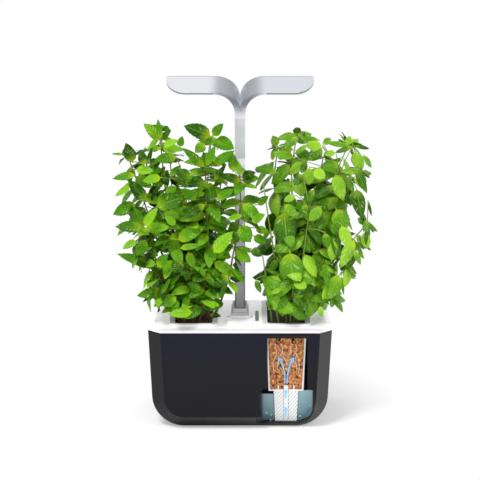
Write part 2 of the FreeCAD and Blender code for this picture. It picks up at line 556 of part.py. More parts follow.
def faces_to_solid(points, triangles):
    """A closed solid of flat triangles, given by the numbers of their corners."""
    faces = [Part.Face(Part.makePolygon([points[a], points[b], points[c], points[a]])) for a, b, c in triangles]
    solid = Part.Solid(Part.Shell(faces))
    if solid.Volume < 0:
        solid.reverse()
    return solid


def stem_solid(points, radius):
    """A slender stalk through points, thinner towards its tip."""
    path = [Vector(*point) for point in points]
    rings = []
    for k, point in enumerate(path):
        axis = (path[min(k + 1, len(path) - 1)] - path[max(k - 1, 0)]).normalize()
        if k == 0:
            axis = Vector(0, 0, 1)
        r = radius * (1 - 0.5 * k / (len(path) - 1))
        rings += [point + direction(360 * j / SIDES, axis) * r for j in range(SIDES)]
    triangles = []
    for k in range(len(path) - 1):
        for j in range(SIDES):
            a, b = k * SIDES + j, k * SIDES + (j + 1) % SIDES
            triangles += [(a, b, b + SIDES), (a, b + SIDES, a + SIDES)]
    last = (len(path) - 1) * SIDES
    triangles += [(0, j + 1, j) for j in range(1, SIDES - 1)]
    triangles += [(last, last + j, last + j + 1) for j in range(1, SIDES - 1)]
    return faces_to_solid(rings, triangles)


def leaf_frames(stems, spacing, length, lift, droop, seed):
    """Where every leaf springs from its stem: base point, forward, upward, length and droop."""
    chance = random.Random(seed)
    frames = []
    for points in stems:
        path = [Vector(*point) for point in points]
        total = sum(a.distanceToPoint(b) for a, b in zip(path, path[1:]))
        count = max(2, int(total / spacing))
        for k in range(1, count + 1):
            reach = total * (0.16 + 0.84 * k / count) - (0.6 if k == count else 0)
            point, axis = along(path, reach)
            start = 40 + 90 * (k % 2) + chance.uniform(-16, 16)
            share = 1.0 if k < count - 1 else (0.86 if k == count - 1 else 0.6)
            turns = (0, 180) if k < count else (0, 90, 180, 270)
            for turn in turns:
                out = direction(start + turn + chance.uniform(-12, 12), axis)
                tilt = math.radians(lift + chance.uniform(-12, 12) + (22 if k == count else 0))
                forward = out * math.cos(tilt) + axis * math.sin(tilt)
                upward = axis * math.cos(tilt) - out * math.sin(tilt)
                long = length * share * chance.uniform(0.82, 1.12)
                foot = point + out * (mm["stem_radius"] * (1 - 0.5 * reach / total) + 0.25)
                frames.append((foot, forward, upward, long, droop * chance.uniform(0.6, 1.3)))
    return frames


def along(path, reach):
    for a, b in zip(path, path[1:]):
        step = a.distanceToPoint(b)
        if reach <= step:
            return a + (b - a) * (reach / step), (b - a).normalize()
        reach -= step
    return path[-1], (path[-1] - path[-2]).normalize()


def leaf_points(frame, width):
    """Corners of one thin leaf: base, two wide stations with a raised middle, and tip."""
    base, forward, upward, long, droop = frame
    across = forward.cross(upward)

    def at(share, aside, raised):
        fall = droop * share * share
        return base + forward * (long * share) + across * aside - upward * (long * fall) + upward * raised

    half = long * width / 2
    thick = mm["leaf_thick"] / 2
    return [at(0, 0, 0), at(0.32, -half, 1.2), at(0.7, -half * 0.72, 0.9), at(1, 0, 0), at(0.7, half * 0.72, 0.9),
            at(0.32, half, 1.2), at(0.32, 0, thick), at(0.7, 0, thick), at(0.32, 0, -thick), at(0.7, 0, -thick)]


LEAF_FACES = [(0, 6, 1), (0, 5, 6), (1, 6, 7), (1, 7, 2), (5, 7, 6), (5, 4, 7), (2, 7, 3), (4, 3, 7),
              (0, 1, 8), (0, 8, 5), (1, 9, 8), (1, 2, 9), (5, 8, 9), (5, 9, 4), (2, 3, 9), (4, 9, 3)]


def near_line(point, a, b):
    """Distance from a point to the stretch between two others."""
    span = b - a
    share = max(0, min(1, (point - a).dot(span) / span.dot(span)))
    return point.distanceToPoint(a + span * share)


def spread(points, steps=4):
    """Points all over a leaf's upper side."""
    spots = []
    for a, b, c in LEAF_FACES[:8]:
        for i in range(steps + 1):
            for j in range(steps + 1 - i):
                spots.append((points[a] * i + points[b] * j + points[c] * (steps - i - j)) * (1 / steps))
    return spots


def free(points, plant, lines):
    """Whether a leaf keeps clear of the mast, the lid and what stands on it, the other plant and the stems."""
    spots = spread(points)
    for x, y, z in spots:
        if (x > 11) if plant == "mint" else (x < 13):
            return False
        if abs(x) < 9 and abs(y) < 20 + max(0, z - 300) or z < mm["leaf_floor"] or z > mm["leaf_ceiling"]:
            return False
        if z < 163 and -20 < x < 24 and -62 < y < 50:
            return False
    box = FreeCAD.BoundBox(*(min(p[k] for p in points) for k in range(3)), *(max(p[k] for p in points)
                                                                             for k in range(3)))
    box.enlarge(2.5)
    outer = [spot for spot in spots if spot.distanceToPoint(points[0]) > 3]
    for a, b in lines:
        if box.intersect(FreeCAD.BoundBox(min(a.x, b.x), min(a.y, b.y), min(a.z, b.z), max(a.x, b.x),
                                          max(a.y, b.y), max(a.z, b.z))):
            if any(near_line(spot, a, b) < mm["stem_clear"] for spot in outer):
                return False
    return True


def plant_leaves(plant, stems, spacing, length, width, lift, droop, seed):
    lines = [(Vector(*a), Vector(*b)) for points in stems for a, b in zip(points, points[1:])]
    stalks = nodes[plant + "_stems"].Shape.Solids
    leaves = []
    for frame in leaf_frames(stems, spacing, length, lift, droop, seed):
        points = leaf_points(frame, width)
        if free(points, plant, lines):
            leaf = faces_to_solid(points, LEAF_FACES)
            if not any(leaf.BoundBox.intersect(stalk.BoundBox) and leaf.distToShape(stalk)[0] < 0.02
                       for stalk in stalks):
                leaves.append(leaf)
    return leaves


def grown(name, solids):
    item = doc.addObject("Part::Feature", name)
    item.Shape = Part.makeCompound(solids)
    return keep(item, name)


grown("mint_stems", [stem_solid(points, mm["stem_radius"]) for points in MINT_STEMS])
grown("basil_stems", [stem_solid(points, mm["stem_radius"]) for points in BASIL_STEMS])
grown("mint_leaves", plant_leaves("mint", MINT_STEMS, mm["mint_step"], mm["mint_long"], 0.58, 24, 0.35, 7))
grown("basil_leaves", plant_leaves("basil", BASIL_STEMS, mm["basil_step"], mm["basil_long"], 0.64, 2, 0.5, 11))

# Output

doc.recompute()
for item in doc.Objects:
    if {"Invalid", "Error"} & set(item.State):
        raise RuntimeError(f"{item.Name} didn't build: {item.State}")
os.makedirs("parts", exist_ok=True)
for label, item in nodes.items():
    if not item.Shape.isValid():
        raise RuntimeError(f"{label} isn't a valid solid")
    item.Shape.exportStep(f"parts/{label}.step")
    box = item.Shape.BoundBox
    print(f"{label:20} solids {len(item.Shape.Solids):3}  {item.Shape.Volume / 1000:9.2f} cm3  x {box.XMin:.1f} "
          f"{box.XMax:.1f}  y {box.YMin:.1f} {box.YMax:.1f}  z {box.ZMin:.1f} {box.ZMax:.1f}")
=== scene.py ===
import math
import random

import bpy
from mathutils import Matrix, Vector


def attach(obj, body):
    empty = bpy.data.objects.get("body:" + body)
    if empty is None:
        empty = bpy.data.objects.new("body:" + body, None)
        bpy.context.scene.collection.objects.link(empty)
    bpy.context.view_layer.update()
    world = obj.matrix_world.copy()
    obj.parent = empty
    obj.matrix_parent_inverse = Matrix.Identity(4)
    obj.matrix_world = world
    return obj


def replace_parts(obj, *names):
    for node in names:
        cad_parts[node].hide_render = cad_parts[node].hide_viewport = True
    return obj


# The garden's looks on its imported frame: glossy dark tank, white lid, aluminium lamp, a sectioned
# cartridge behind the window, and mint and basil grown along the same stems as in the frame. Metres, +Z
# up, +Y to the back, except for the plants, which are laid out in millimetres.

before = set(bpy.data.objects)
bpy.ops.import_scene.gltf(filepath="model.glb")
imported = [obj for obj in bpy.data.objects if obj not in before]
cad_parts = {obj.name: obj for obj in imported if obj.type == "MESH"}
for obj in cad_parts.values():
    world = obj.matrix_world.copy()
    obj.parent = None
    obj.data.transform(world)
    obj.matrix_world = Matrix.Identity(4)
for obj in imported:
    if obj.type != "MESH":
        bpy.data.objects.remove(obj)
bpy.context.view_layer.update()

# Camera: the width of its square view in pixels, how far it stands, how steeply it looks down on a point
# of the middle line, its focal length in pixels, and where that point is seen
VIEW = 480
FAR = 3.0
TILT = math.radians(15.3)
AIM_HIGH = 0.15
FOCAL = 2544
AIM_SEEN = (240.5, 291.3)
EYE = Vector((0, -FAR * math.cos(TILT), AIM_HIGH + FAR * math.sin(TILT)))


# Shader maths written as expressions

class Mix:
    """A socket that takes part in shader maths."""

    def __init__(self, tree, socket):
        self.tree = tree
        self.socket = socket

    def _new(self, operation, *others, vector=False):
        kind = "ShaderNodeVectorMath" if vector else "ShaderNodeMath"
        node = self.tree.node(kind, {"operation": operation}, dict(enumerate((self, *others))))
        return Mix(self.tree, node.outputs[0])

    def __add__(self, other):
        return self._new("ADD", other)

    __radd__ = __add__

    def __sub__(self, other):
        return self._new("SUBTRACT", other)

    def __rsub__(self, other):
        return self * -1 + other

    def __mul__(self, other):
        return self._new("MULTIPLY", other)

    __rmul__ = __mul__

    def over(self, edge):
        return self._new("GREATER_THAN", edge)

    def under(self, edge):
        return self._new("LESS_THAN", edge)

    def largest(self, other):
        return self._new("MAXIMUM", other)

    def size(self):
        return self._new("ABSOLUTE")

    def saw(self):
        return self._new("FRACT")

    def ramp(self, low, high):
        """0 below low, 1 above high, and smooth between them."""
        node = self.tree.node("ShaderNodeMapRange", {"interpolation_type": "SMOOTHSTEP"},
                              {"Value": self, "From Min": low, "From Max": high})
        return Mix(self.tree, node.outputs[0])

    def scaled(self, *factors):
        return self._new("MULTIPLY", Vector(factors), vector=True)

    def moved(self, other):
        return self._new("ADD", other, vector=True)


class Shader:
    """The nodes of a material or of the room, each made by one method."""

    def __init__(self, owner):
        owner.use_nodes = True
        self.nodes = owner.node_tree.nodes
        self.links = owner.node_tree.links

    def plug(self, socket, value):
        """Set one input to a value, or join it to a socket."""
        if isinstance(value, Mix):
            value = value.socket
        if hasattr(value, "is_linked"):
            self.links.new(value, socket)
        elif hasattr(value, "__len__") and len(socket.default_value) == 4 and len(value) == 3:
            socket.default_value = (*value, 1)
        else:
            socket.default_value = value

    def node(self, kind, settings, inputs):
        """A node of a type, with its settings first and then its inputs' values or links."""
        made = self.nodes.new(kind)
        for key, value in settings.items():
            setattr(made, key, value)
        for key, value in inputs.items():
            self.plug(made.inputs[key], value)
        return made

    def lit_for_camera(self, output, plain, white, share, rays):
        """Send out a white surface, mixed over a plain one for the kinds of ray that are named."""
        path = self.node("ShaderNodeLightPath", {}, {})
        kind = Mix(self, path.outputs[rays[0]])
        for ray in rays[1:]:
            kind = kind.largest(path.outputs[ray])
        inputs = {0: kind * share, 1: plain.outputs[0], 2: white.outputs[0]}
        mixed = self.node("ShaderNodeMixShader", {}, inputs)
        self.plug(self.nodes[output].inputs[0], mixed.outputs[0])


class Finish(Shader):
    """One material with a Principled surface."""

    def __init__(self, name, colour, roughness, **constants):
        self.material = bpy.data.materials.new(name)
        super().__init__(self.material)
        self.surface = self.nodes["Principled BSDF"]
        self.put("Base Color", colour)
        self.put("Roughness", roughness)
        for key, value in constants.items():
            self.put(key.replace("_", " "), value)

    def put(self, socket, value):
        """Set or join one input of the surface."""
        self.plug(self.surface.inputs[socket], value)

    def place(self):
        """Position on the garden at rest, from the mesh's own coordinates."""
        return Mix(self, self.node("ShaderNodeTexCoord", {}, {}).outputs["Object"])

    def parts(self, vector):
        made = self.node("ShaderNodeSeparateXYZ", {}, {0: vector})
        return [Mix(self, made.outputs[k]) for k in range(3)]

    def stored(self, name):
        made = self.node("ShaderNodeAttribute", {"attribute_name": name}, {})
        return Mix(self, made.outputs["Fac"])

    def noise(self, scale, detail=2.0, vector=None):
        inputs = {"Vector": vector or self.place(), "Scale": scale, "Detail": detail}
        return Mix(self, self.node("ShaderNodeTexNoise", {}, inputs).outputs["Fac"])

    def cells(self, scale, vector=None):
        inputs = {"Vector": vector or self.place(), "Scale": scale}
        return Mix(self, self.node("ShaderNodeTexVoronoi", {}, inputs).outputs["Distance"])

    def blend(self, factor, first, second):
        made = self.node("ShaderNodeMix", {"data_type": "RGBA"}, {0: factor, 6: first, 7: second})
        return Mix(self, made.outputs[2])

    def bump(self, height, strength, distance):
        inputs = {"Height": height, "Strength": strength, "Distance": distance}
        made = self.node("ShaderNodeBump", {}, inputs)
        self.put("Normal", Mix(self, made.outputs[0]))


def linear(red, green, blue):
    """A colour given in the usual 0 to 255 values."""
    shares = (((v / 255 + 0.055) / 1.055) ** 2.4 if v > 10 else v / 3294.6 for v in (red, green, blue))
    return tuple(shares)


def wear(name, finish):
    """Give a CAD node its finish."""
    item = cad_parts[name]
    item.data.materials.clear()
    item.data.materials.append(finish.material)


# Finishes of the moulded and metal pieces. A pair of numbers that a ramp takes is where it is 0 and
# where it is 1. The section is the plane that the right cartridge is cut on, up to its top, around its
# middle.

SECTION_Y = -0.0423
SECTION_X = 0.054
SECTION_TOP = 0.1134
BLACK = (0.0, 0.0, 0.0)
WHITE = (1.0, 1.0, 1.0)


def tank_black():
    """Near black, bluer under the lid, with painted light making its right bevel lighter than its left one.
    """
    bevel_y, blue_z, bevels_x = (-0.0649, -0.0643), (0.112, 0.07), (-0.09, 0.09)
    look = Finish("tank_black", linear(22, 22, 27), 0.16, Specular_IOR_Level=0.14)
    x, y, z = look.parts(look.place())
    bevel = y.ramp(*bevel_y)
    front = look.blend(z.ramp(*blue_z), linear(18, 18, 36), linear(21, 21, 26))
    # Painted light on the bevels: the right one is much lighter than the left one.
    painted_light_bevels = look.blend(x.ramp(*bevels_x), linear(24, 24, 29), linear(66, 66, 67))
    look.put("Base Color", look.blend(bevel, front, painted_light_bevels))
    look.put("Roughness", look.noise(9) * 0.06 + 0.12)
    return look


def lid_white():
    """White, with a painted glow on top that lifts the plants' shade, and a greyer front rim of painted
    shade that has no glow.
    """
    rim_y = (-0.0575, -0.062)
    top_glow = (0.18, 0.18, 0.18)
    look = Finish("lid_white", linear(252, 247, 251), 0.22, Coat_Weight=0.2)
    # Painted light: a glow on the top in place of light that the plants block. Painted shade: a greyer
    # front rim, with no glow.
    painted_shade_rim = look.parts(look.place())[1].ramp(*rim_y)
    look.put("Base Color", look.blend(painted_shade_rim, linear(252, 247, 251), linear(224, 222, 224)))
    look.put("Emission Color", look.blend(painted_shade_rim, top_glow, BLACK))
    look.put("Emission Strength", 1.0)
    look.put("Roughness", look.noise(14) * 0.08 + 0.2)
    return look


def satin(name, colour, roughness=0.4, grain=60.0):
    look = Finish(name, colour, roughness)
    look.put("Roughness", look.noise(grain) * 0.1 + (roughness - 0.05))
    return look


def lamp_aluminium():
    """Brushed metal with painted light and shade: a mast darker towards its foot and greyer at its neck,
    pale leaves with the left one lighter, painted shade in the bends, under the leaves and on their back
    edge, and a painted glow in the valley between the leaves and on the mast where the plants shade it.
    """
    foot_z, neck_z, head_z = (0.29, 0.13), (0.325, 0.355), (0.367, 0.386)
    bend_x, bend_shift, fold_x, leaves_x = (0.034, 0.019), 0.0025, (0.022, 0.007), (-0.04, 0.04)
    underside_z, underside_x, back_edge_y, back_edge_z = 0.3972, 0.03, 0.0462, 0.38
    valley_x, valley_y, valley_z = (0.008, 0.002), (-0.044, -0.034), (0.353, 0.364)
    shaded_top, shaded_foot, shaded_glow = (0.335, 0.322), (0.26, 0.3), (0.16, 0.13, 0.24)
    look = Finish("lamp_aluminium", linear(226, 226, 230), 0.34, Metallic=0.4)
    x, y, z = look.parts(look.place())
    streak = look.noise(1.0, 3.0, look.place().scaled(30.0, 900.0, 30.0))
    # Painted shade: the mast darkens towards its foot and is greyer at its neck.
    mast = look.blend(z.ramp(*foot_z), linear(246, 244, 254), linear(124, 126, 128))
    mast = look.blend(z.ramp(*neck_z), mast, linear(209, 209, 215))
    # Painted shade: the bends darken towards the middle, the undersides and the back edge are grey, and the
    # left leaf is painted lighter than the right one.
    bend_shade_mask = (x + bend_shift).size().ramp(*bend_x)
    fold_shade = look.blend(x.size().ramp(*fold_x), linear(134, 137, 146), linear(106, 109, 117))
    sheet = look.blend(x.ramp(*leaves_x), linear(206, 207, 213), linear(192, 196, 205))
    underside_shade = z.under(underside_z) * x.size().over(underside_x)
    flat = look.blend(underside_shade, sheet, linear(132, 133, 138))
    flat = look.blend(y.over(back_edge_y) * z.over(back_edge_z), flat, linear(150, 150, 154))
    head = look.blend(bend_shade_mask, flat, fold_shade)
    look.put("Base Color", look.blend(z.ramp(*head_z), mast, head))
    look.put("Roughness", streak * 0.1 + 0.3)
    # Painted light: a glow in the valley between the leaves, and on the mast where the plants shade it.
    valley = x.size().ramp(*valley_x) * z.ramp(*valley_z) * y.ramp(*valley_y)
    shine = look.blend(valley, BLACK, linear(156, 159, 168))
    shaded = z.ramp(*shaded_top) * z.ramp(*shaded_foot)
    look.put("Emission Color", look.blend(shaded, shine, shaded_glow))
    look.put("Emission Strength", 0.5)
    return look


def diffuser():
    look = Finish("diffuser", linear(240, 242, 245), 0.5)
    look.put("Emission Color", (*linear(255, 250, 240), 1))
    look.put("Emission Strength", 0.25)
    return look


def window_pane():
    """Clear before the pot and the water, and dark at its left, above the water and under the lid."""
    left_x, above_z, pot_left_x = (0.029, 0.021), (0.0475, 0.0515), (0.0325, 0.0315)
    pot_right_x, lid_z, clear = 0.0785, 0.1111, 0.04
    look = Finish("window_pane", linear(14, 15, 20), 0.05, Specular_IOR_Level=0.2)
    x, _, z = look.parts(look.place())
    beside_pot = x.ramp(*pot_left_x).largest(x.over(pot_right_x))
    dark = x.ramp(*left_x).largest(z.ramp(*above_z) * beside_pot).largest(z.over(lid_z))
    look.put("Alpha", dark.largest(clear))
    return look


def soil(name):
    """Clods, dark specks and a few yellow grains on the cut face, and darker soil on top."""
    pearl_shift, kept_shift, top_z = Vector((0.37, 0.11, 0.53)), Vector((3.1, 1.7, 0.4)), (0.1165, 0.1185)
    look = Finish(name, linear(150, 92, 55), 0.9)
    place = look.place()
    fine = look.noise(420.0, 4.0)
    base = look.blend(fine.ramp(0.35, 0.65), linear(150, 88, 50), linear(222, 152, 98))
    clod = look.cells(150.0)
    stone = look.blend(clod.ramp(0.22, 0.3), linear(104, 58, 34), base)
    speck = look.cells(420.0).ramp(0.2, 0.13) * look.noise(90.0).ramp(0.5, 0.56)
    dark = look.blend(speck, stone, linear(26, 18, 14))
    pearl = look.cells(330.0, place.moved(pearl_shift)).ramp(0.22, 0.14)
    kept = pearl * look.noise(70.0, 1.0, place.moved(kept_shift)).ramp(0.48, 0.54)
    light = look.blend(kept, dark, linear(250, 222, 120))
    x, y, z = look.parts(place)
    darker_top = look.blend(fine.ramp(0.4, 0.6), linear(30, 20, 14), linear(92, 60, 38))
    sectioned(look, look.blend(z.ramp(*top_z), light, darker_top), x, y, z)
    look.bump(look.noise(500.0, 5.0), 0.6, 0.001)
    return look


def sectioned(look, colour, x, y, z):
    """Give the faces that the section opens a little light of their own, as a drawn section has."""
    behind, before, glow = 0.0002, 0.0012, 0.3
    face = y.under(SECTION_Y + behind) * y.over(SECTION_Y - before) * x.over(0.0) * z.under(SECTION_TOP)
    look.put("Base Color", colour)
    look.put("Emission Color", look.blend(face, BLACK, colour))
    look.put("Emission Strength", glow)


def hatched():
    """White, with slanting lines on the cut face."""
    slope, lines_per_metre, line_share, behind = 0.8, 270.0, 0.2, 0.0004
    look = Finish("wick_stand", linear(240, 242, 244), 0.55)
    x, y, z = look.parts(look.place())
    ruled = ((x - z * slope) * lines_per_metre).saw().under(line_share) * y.under(SECTION_Y + behind)
    sectioned(look, look.blend(ruled, linear(246, 247, 246), linear(168, 172, 174)), x, y, z)
    return look


def pot_white():
    look = Finish("pot_white", linear(240, 240, 242), 0.4)
    x, y, z = look.parts(look.place())
    sectioned(look, linear(240, 240, 242), x, y, z)
    return look


def felt():
    """Fibrous white, greyer along both edges of the strip."""
    edge_x = (0.0020, 0.0028)
    look = Finish("wick_felt", linear(236, 240, 242), 0.95)
    x, y, z = look.parts(look.place())
    fibre = look.noise(500.0, 3.0).ramp(0.3, 0.7)
    edge = (x - SECTION_X).size().ramp(*edge_x)
    middle = look.blend(fibre, linear(222, 228, 232), linear(248, 249, 250))
    sectioned(look, look.blend(edge, middle, linear(176, 182, 188)), x, y, z)
    return look


white = lid_white()
satin_white = satin("satin_white", linear(222, 222, 228), 0.35)
natural = satin("natural_white", linear(235, 235, 238), 0.45)
metal = lamp_aluminium()
wear("reservoir", tank_black())
wear("section_window", window_pane())
wear("grip_pad", satin("grip_rubber", linear(30, 30, 32), 0.85))
for name in ("lid", "filler_flap"):
    wear(name, white)
for name in ("mast_socket", "inlet_block"):
    wear(name, satin_white)
for name in ("mast_sleeve", "gauge_guide"):
    wear(name, natural)
pots = pot_white()
for name in ("pot_left", "pot_right"):
    wear(name, pots)
for name in ("mast", "lamp_head"):
    wear(name, metal)
wear("flap_pin", Finish("pin_steel", linear(190, 190, 192), 0.3, Metallic=1.0))
wear("power_inlet", satin("inlet_black", linear(20, 20, 22), 0.4))
wear("power_button", satin("button_grey", linear(150, 154, 160), 0.4))
wear("float_body", satin("float_foam", linear(236, 236, 230), 0.9, 400.0))
wear("gauge_blade", satin("gauge_green", linear(70, 104, 88), 0.4))
wear("mast_plug", satin("plug_grey", linear(90, 90, 94), 0.6))
board = satin("board_white", linear(232, 236, 232), 0.5)
chip = satin("chip_yellow", linear(244, 222, 120), 0.4)
cover = diffuser()
for side in ("left", "right"):
    wear("led_board_" + side, board)
    wear("led_chips_" + side, chip)
    wear("light_cover_" + side, cover)
    wear("soil_" + side, soil("soil_" + side))
    wear("wick_stand_" + side, hatched())
    wear("wick_felt_" + side, felt())


def meshed(name, points, faces, finish, body, smooth=True, stored=None):
    """A piece made of points and faces, in metres, that rides on a CAD body."""
    mesh = bpy.data.meshes.new(name)
    mesh.from_pydata([tuple(p) for p in points], [], faces)
    for key, values in (stored or {}).items():
        mesh.attributes.new(key, "FLOAT", "POINT").data.foreach_set("value", values)
    if smooth:
        mesh.shade_smooth()
    mesh.materials.append(finish.material)
    item = bpy.data.objects.new(name, mesh)
    bpy.context.scene.collection.objects.link(item)
    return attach(item, body)


# Plants, in millimetres: the frame's stems, with finer and more leaves along them

MINT_STEMS = [
    [(-62, 0, 119), (-75, 0, 200), (-88, 0, 280), (-94, 0, 346)],
    [(-66, -12, 119), (-95, -12, 210), (-120, -15, 288), (-130, -15, 317)],
    [(-60, 20, 119), (-85, 25, 220), (-107, 25, 288), (-114, 25, 312)],
    [(-42, -6, 119), (-38, -12, 200), (-38, -14, 280), (-34, -12, 330)],
    [(-37, -36, 119), (-35, -38, 180), (-37, -38, 225), (-40, -37, 302)],
    [(-38, -40, 119), (-24, -40, 143), (-13, -40, 177), (-3, -38, 232), (1, -34, 266), (-1, -31, 304)],
    [(-70, -22, 119), (-95, -25, 180), (-118, -28, 228), (-129, -28, 252)],
    [(-68, 8, 119), (-88, 14, 165), (-110, 16, 205), (-121, 16, 230)],
    [(-68, -36, 119), (-84, -40, 160), (-97, -42, 185), (-117, -42, 204)],
    [(-68, -32, 119), (-82, -42, 138), (-95, -45, 152), (-104, -45, 156)],
    [(-56, 30, 119), (-70, 32, 200), (-80, 30, 262), (-82, 30, 302)],
    [(-50, -28, 119), (-55, -32, 180), (-60, -30, 240), (-64, -28, 288)],
    [(-48, 4, 119), (-52, 0, 180), (-56, -6, 230), (-60, -8, 266)],
    [(-64, -34, 119), (-70, -38, 160), (-76, -38, 205), (-80, -36, 238)],
    [(-45, 25, 119), (-34, 27, 180), (-26, 29, 240), (-20, 28, 300)],
    [(-54, -40, 119), (-56, -44, 150), (-58, -46, 190)],
    [(-48, -38, 119), (-43, -46, 150), (-39, -50, 182)],
    [(-62, -40, 119), (-73, -49, 142), (-86, -53, 166)],
]
BASIL_STEMS = [
    [(58, 0, 119), (62, 0, 220), (60, 0, 300), (66, 0, 338)],
    [(66, 10, 119), (85, 12, 220), (112, 14, 290), (127, 14, 324)],
    [(66, -26, 119), (81, -28, 165), (92, -26, 208), (108, -24, 262), (115, -22, 296)],
    [(64, -12, 119), (95, -18, 215), (126, -20, 280), (141, -20, 298)],
    [(66, -18, 119), (105, -26, 180), (130, -28, 218), (148, -28, 240)],
    [(65, -34, 119), (92, -40, 140), (108, -42, 156)],
    [(54, -38, 119), (54, -41, 200), (55, -42, 252)],
    [(38, -36, 119), (34, -41, 150), (30, -43, 178), (26, -43, 206)],
    [(45, 10, 119), (42, 12, 220), (40, 14, 285), (44, 14, 322)],
    [(60, 26, 119), (75, 28, 210), (90, 28, 268), (98, 28, 306)],
    [(47, -20, 119), (40, -26, 200), (32, -28, 252), (27, -28, 286)],
    [(62, -38, 119), (70, -41, 180), (76, -42, 225), (80, -40, 260)],
    [(65, 30, 119), (95, 34, 200), (118, 34, 250), (130, 34, 278)],
    [(64, -39, 119), (86, -44, 165), (98, -44, 196)],
    [(58, -40, 119), (60, -50, 150), (62, -52, 178)],
    [(46, -40, 119), (42, -49, 142), (37, -53, 166)],
    [(68, 2, 119), (110, 6, 182), (138, 6, 208)],
    [(66, -30, 119), (98, -43, 165), (126, -45, 192)],
]
MM = 0.001
STEM_RADIUS = 1.3

# Where leaves may grow: between two heights, on their own plant's side of the middle, off the mast, its
# neck and what stands on the lid. In front of the mast the mint reaches farther over to the right.
LEAF_LOW, LEAF_TOP = 130, 366
MINT_RIGHT, BASIL_LEFT = 11, 13
FRONT_Y, FRONT_LOW, FRONT_TOP = -22, 198, 302
MINT_FRONT_RIGHT, BASIL_FRONT_LEFT = 36, 38
MAST_X, MAST_Y, NECK_Z = 9, 20, 300
FITTINGS_X, FITTINGS_Y, FITTINGS_TOP = (-20, 24), (-62, 50), 163

# Leaf pairs along a stem: the share of it that is bare at its foot, how far below the tip the last
# leaves spring, how the pairs turn, and how directions, lengths and droops vary. The two uppermost sets
# of leaves are smaller. Blades lean out from the plant's middle. High and young leaves are fresher, and
# near leaves are made fresher too, as painted light that yellows their bases.
BARE_FOOT = 0.12
TIP_INSET = 0.6
FIRST_TURN, PAIR_SWAY, LEAF_SWAY, TIP_LIFT = 40, 30, 16, 30
TIP_SHARES = {0: 0.6, 1: 0.86}
LENGTHS, DROOPS = (0.72, 1.15), (0.5, 1.4)
LEAN, FRONT_BIAS = 0.9, 22
SPINE_SHARES = (0.2, 0.5, 0.75, 1)
YOUNG, YOUNG_SHARE = 0.25, 0.75
FRESH_Z, FRESH_RISE, LIT_NEAR_DEPTH = 200, 150, 120

# A leaf's own form: how it twists, ripples and curls
TWIST, WAVE, CURL = (-0.22, 0.22), (0, 6.3), (0.7, 1.4)
CRINKLE, WAVES_ALONG, WAVE_ACROSS, EDGE_PULL = 0.07, 9, 2, 0.06


def direction(angle, axis):
    """A unit vector square to an axis, turned about it by an angle in degrees from the front."""
    side = axis.cross(Vector((0, -1, 0))).normalized()
    front = side.cross(axis).normalized()
    turn = math.radians(angle)
    return front * math.cos(turn) + side * math.sin(turn)


def along(path, reach):
    """The point at a reach along a path of straight runs, and the way that the path goes there."""
    for a, b in zip(path, path[1:]):
        step = (b - a).length
        if reach <= step:
            return a + (b - a) * (reach / step), (b - a).normalized()
        reach -= step
    return path[-1], (path[-1] - path[-2]).normalized()


def leaf_frames(stems, spacing, length, lift, sway, droop, seed):
    """Where every leaf springs from its stem: base point, forward, upward, length and droop."""
    chance = random.Random(seed)
    frames = []
    for points in stems:
        path = [Vector(point) for point in points]
        total = sum((b - a).length for a, b in zip(path, path[1:]))
        count = max(3, int(total / spacing))
        for k in range(1, count + 1):
            last = k == count
            reach = total * (BARE_FOOT + (1 - BARE_FOOT) * k / count) - (TIP_INSET if last else 0)
            point, axis = along(path, reach)
            start = FIRST_TURN + 90 * (k % 2) + chance.uniform(-PAIR_SWAY, PAIR_SWAY)
            share = TIP_SHARES.get(count - k, 1.0)
            for turn in ((0, 90, 180, 270) if last else (0, 180)):
                out = direction(start + turn + chance.uniform(-LEAF_SWAY, LEAF_SWAY), axis)
                tilt = math.radians(lift + chance.uniform(-sway, sway) + (TIP_LIFT if last else 0))
                forward = out * math.cos(tilt) + axis * math.sin(tilt)
                upward = axis * math.cos(tilt) - out * math.sin(tilt)
                long = length * share * chance.uniform(*LENGTHS)
                foot = point + out * STEM_RADIUS * (1 - 0.5 * reach / total)
                frames.append((foot, forward, upward, long, droop * chance.uniform(*DROOPS)))
    return frames


def seen(across, down, depth):
    """The point, in millimetres, where the camera's ray through a place of its view meets a depth."""
    side = (across - AIM_SEEN[0]) / FOCAL
    rise = (AIM_SEEN[1] - down) / FOCAL
    ray = Vector((side, math.cos(TILT) + rise * math.sin(TILT), -math.sin(TILT) + rise * math.cos(TILT)))
    return EYE / MM + ray * ((depth - EYE.y / MM) / ray.y)


def free(points, plant):
    """Whether a leaf keeps clear of the mast, the lid and what stands on it, and the other plant."""
    for x, y, z in points:
        front = FRONT_LOW < z < FRONT_TOP and y < FRONT_Y
        if plant == "mint" and x > (MINT_FRONT_RIGHT if front else MINT_RIGHT):
            return False
        if plant == "basil" and x < (BASIL_FRONT_LEFT if front else BASIL_LEFT):
            return False
        if z < LEAF_LOW or z > LEAF_TOP or abs(x) < MAST_X and abs(y) < MAST_Y + max(0, z - NECK_Z):
            return False
        beside = FITTINGS_X[0] < x < FITTINGS_X[1] and FITTINGS_Y[0] < y < FITTINGS_Y[1]
        if beside and z < FITTINGS_TOP:
            return False
    return True


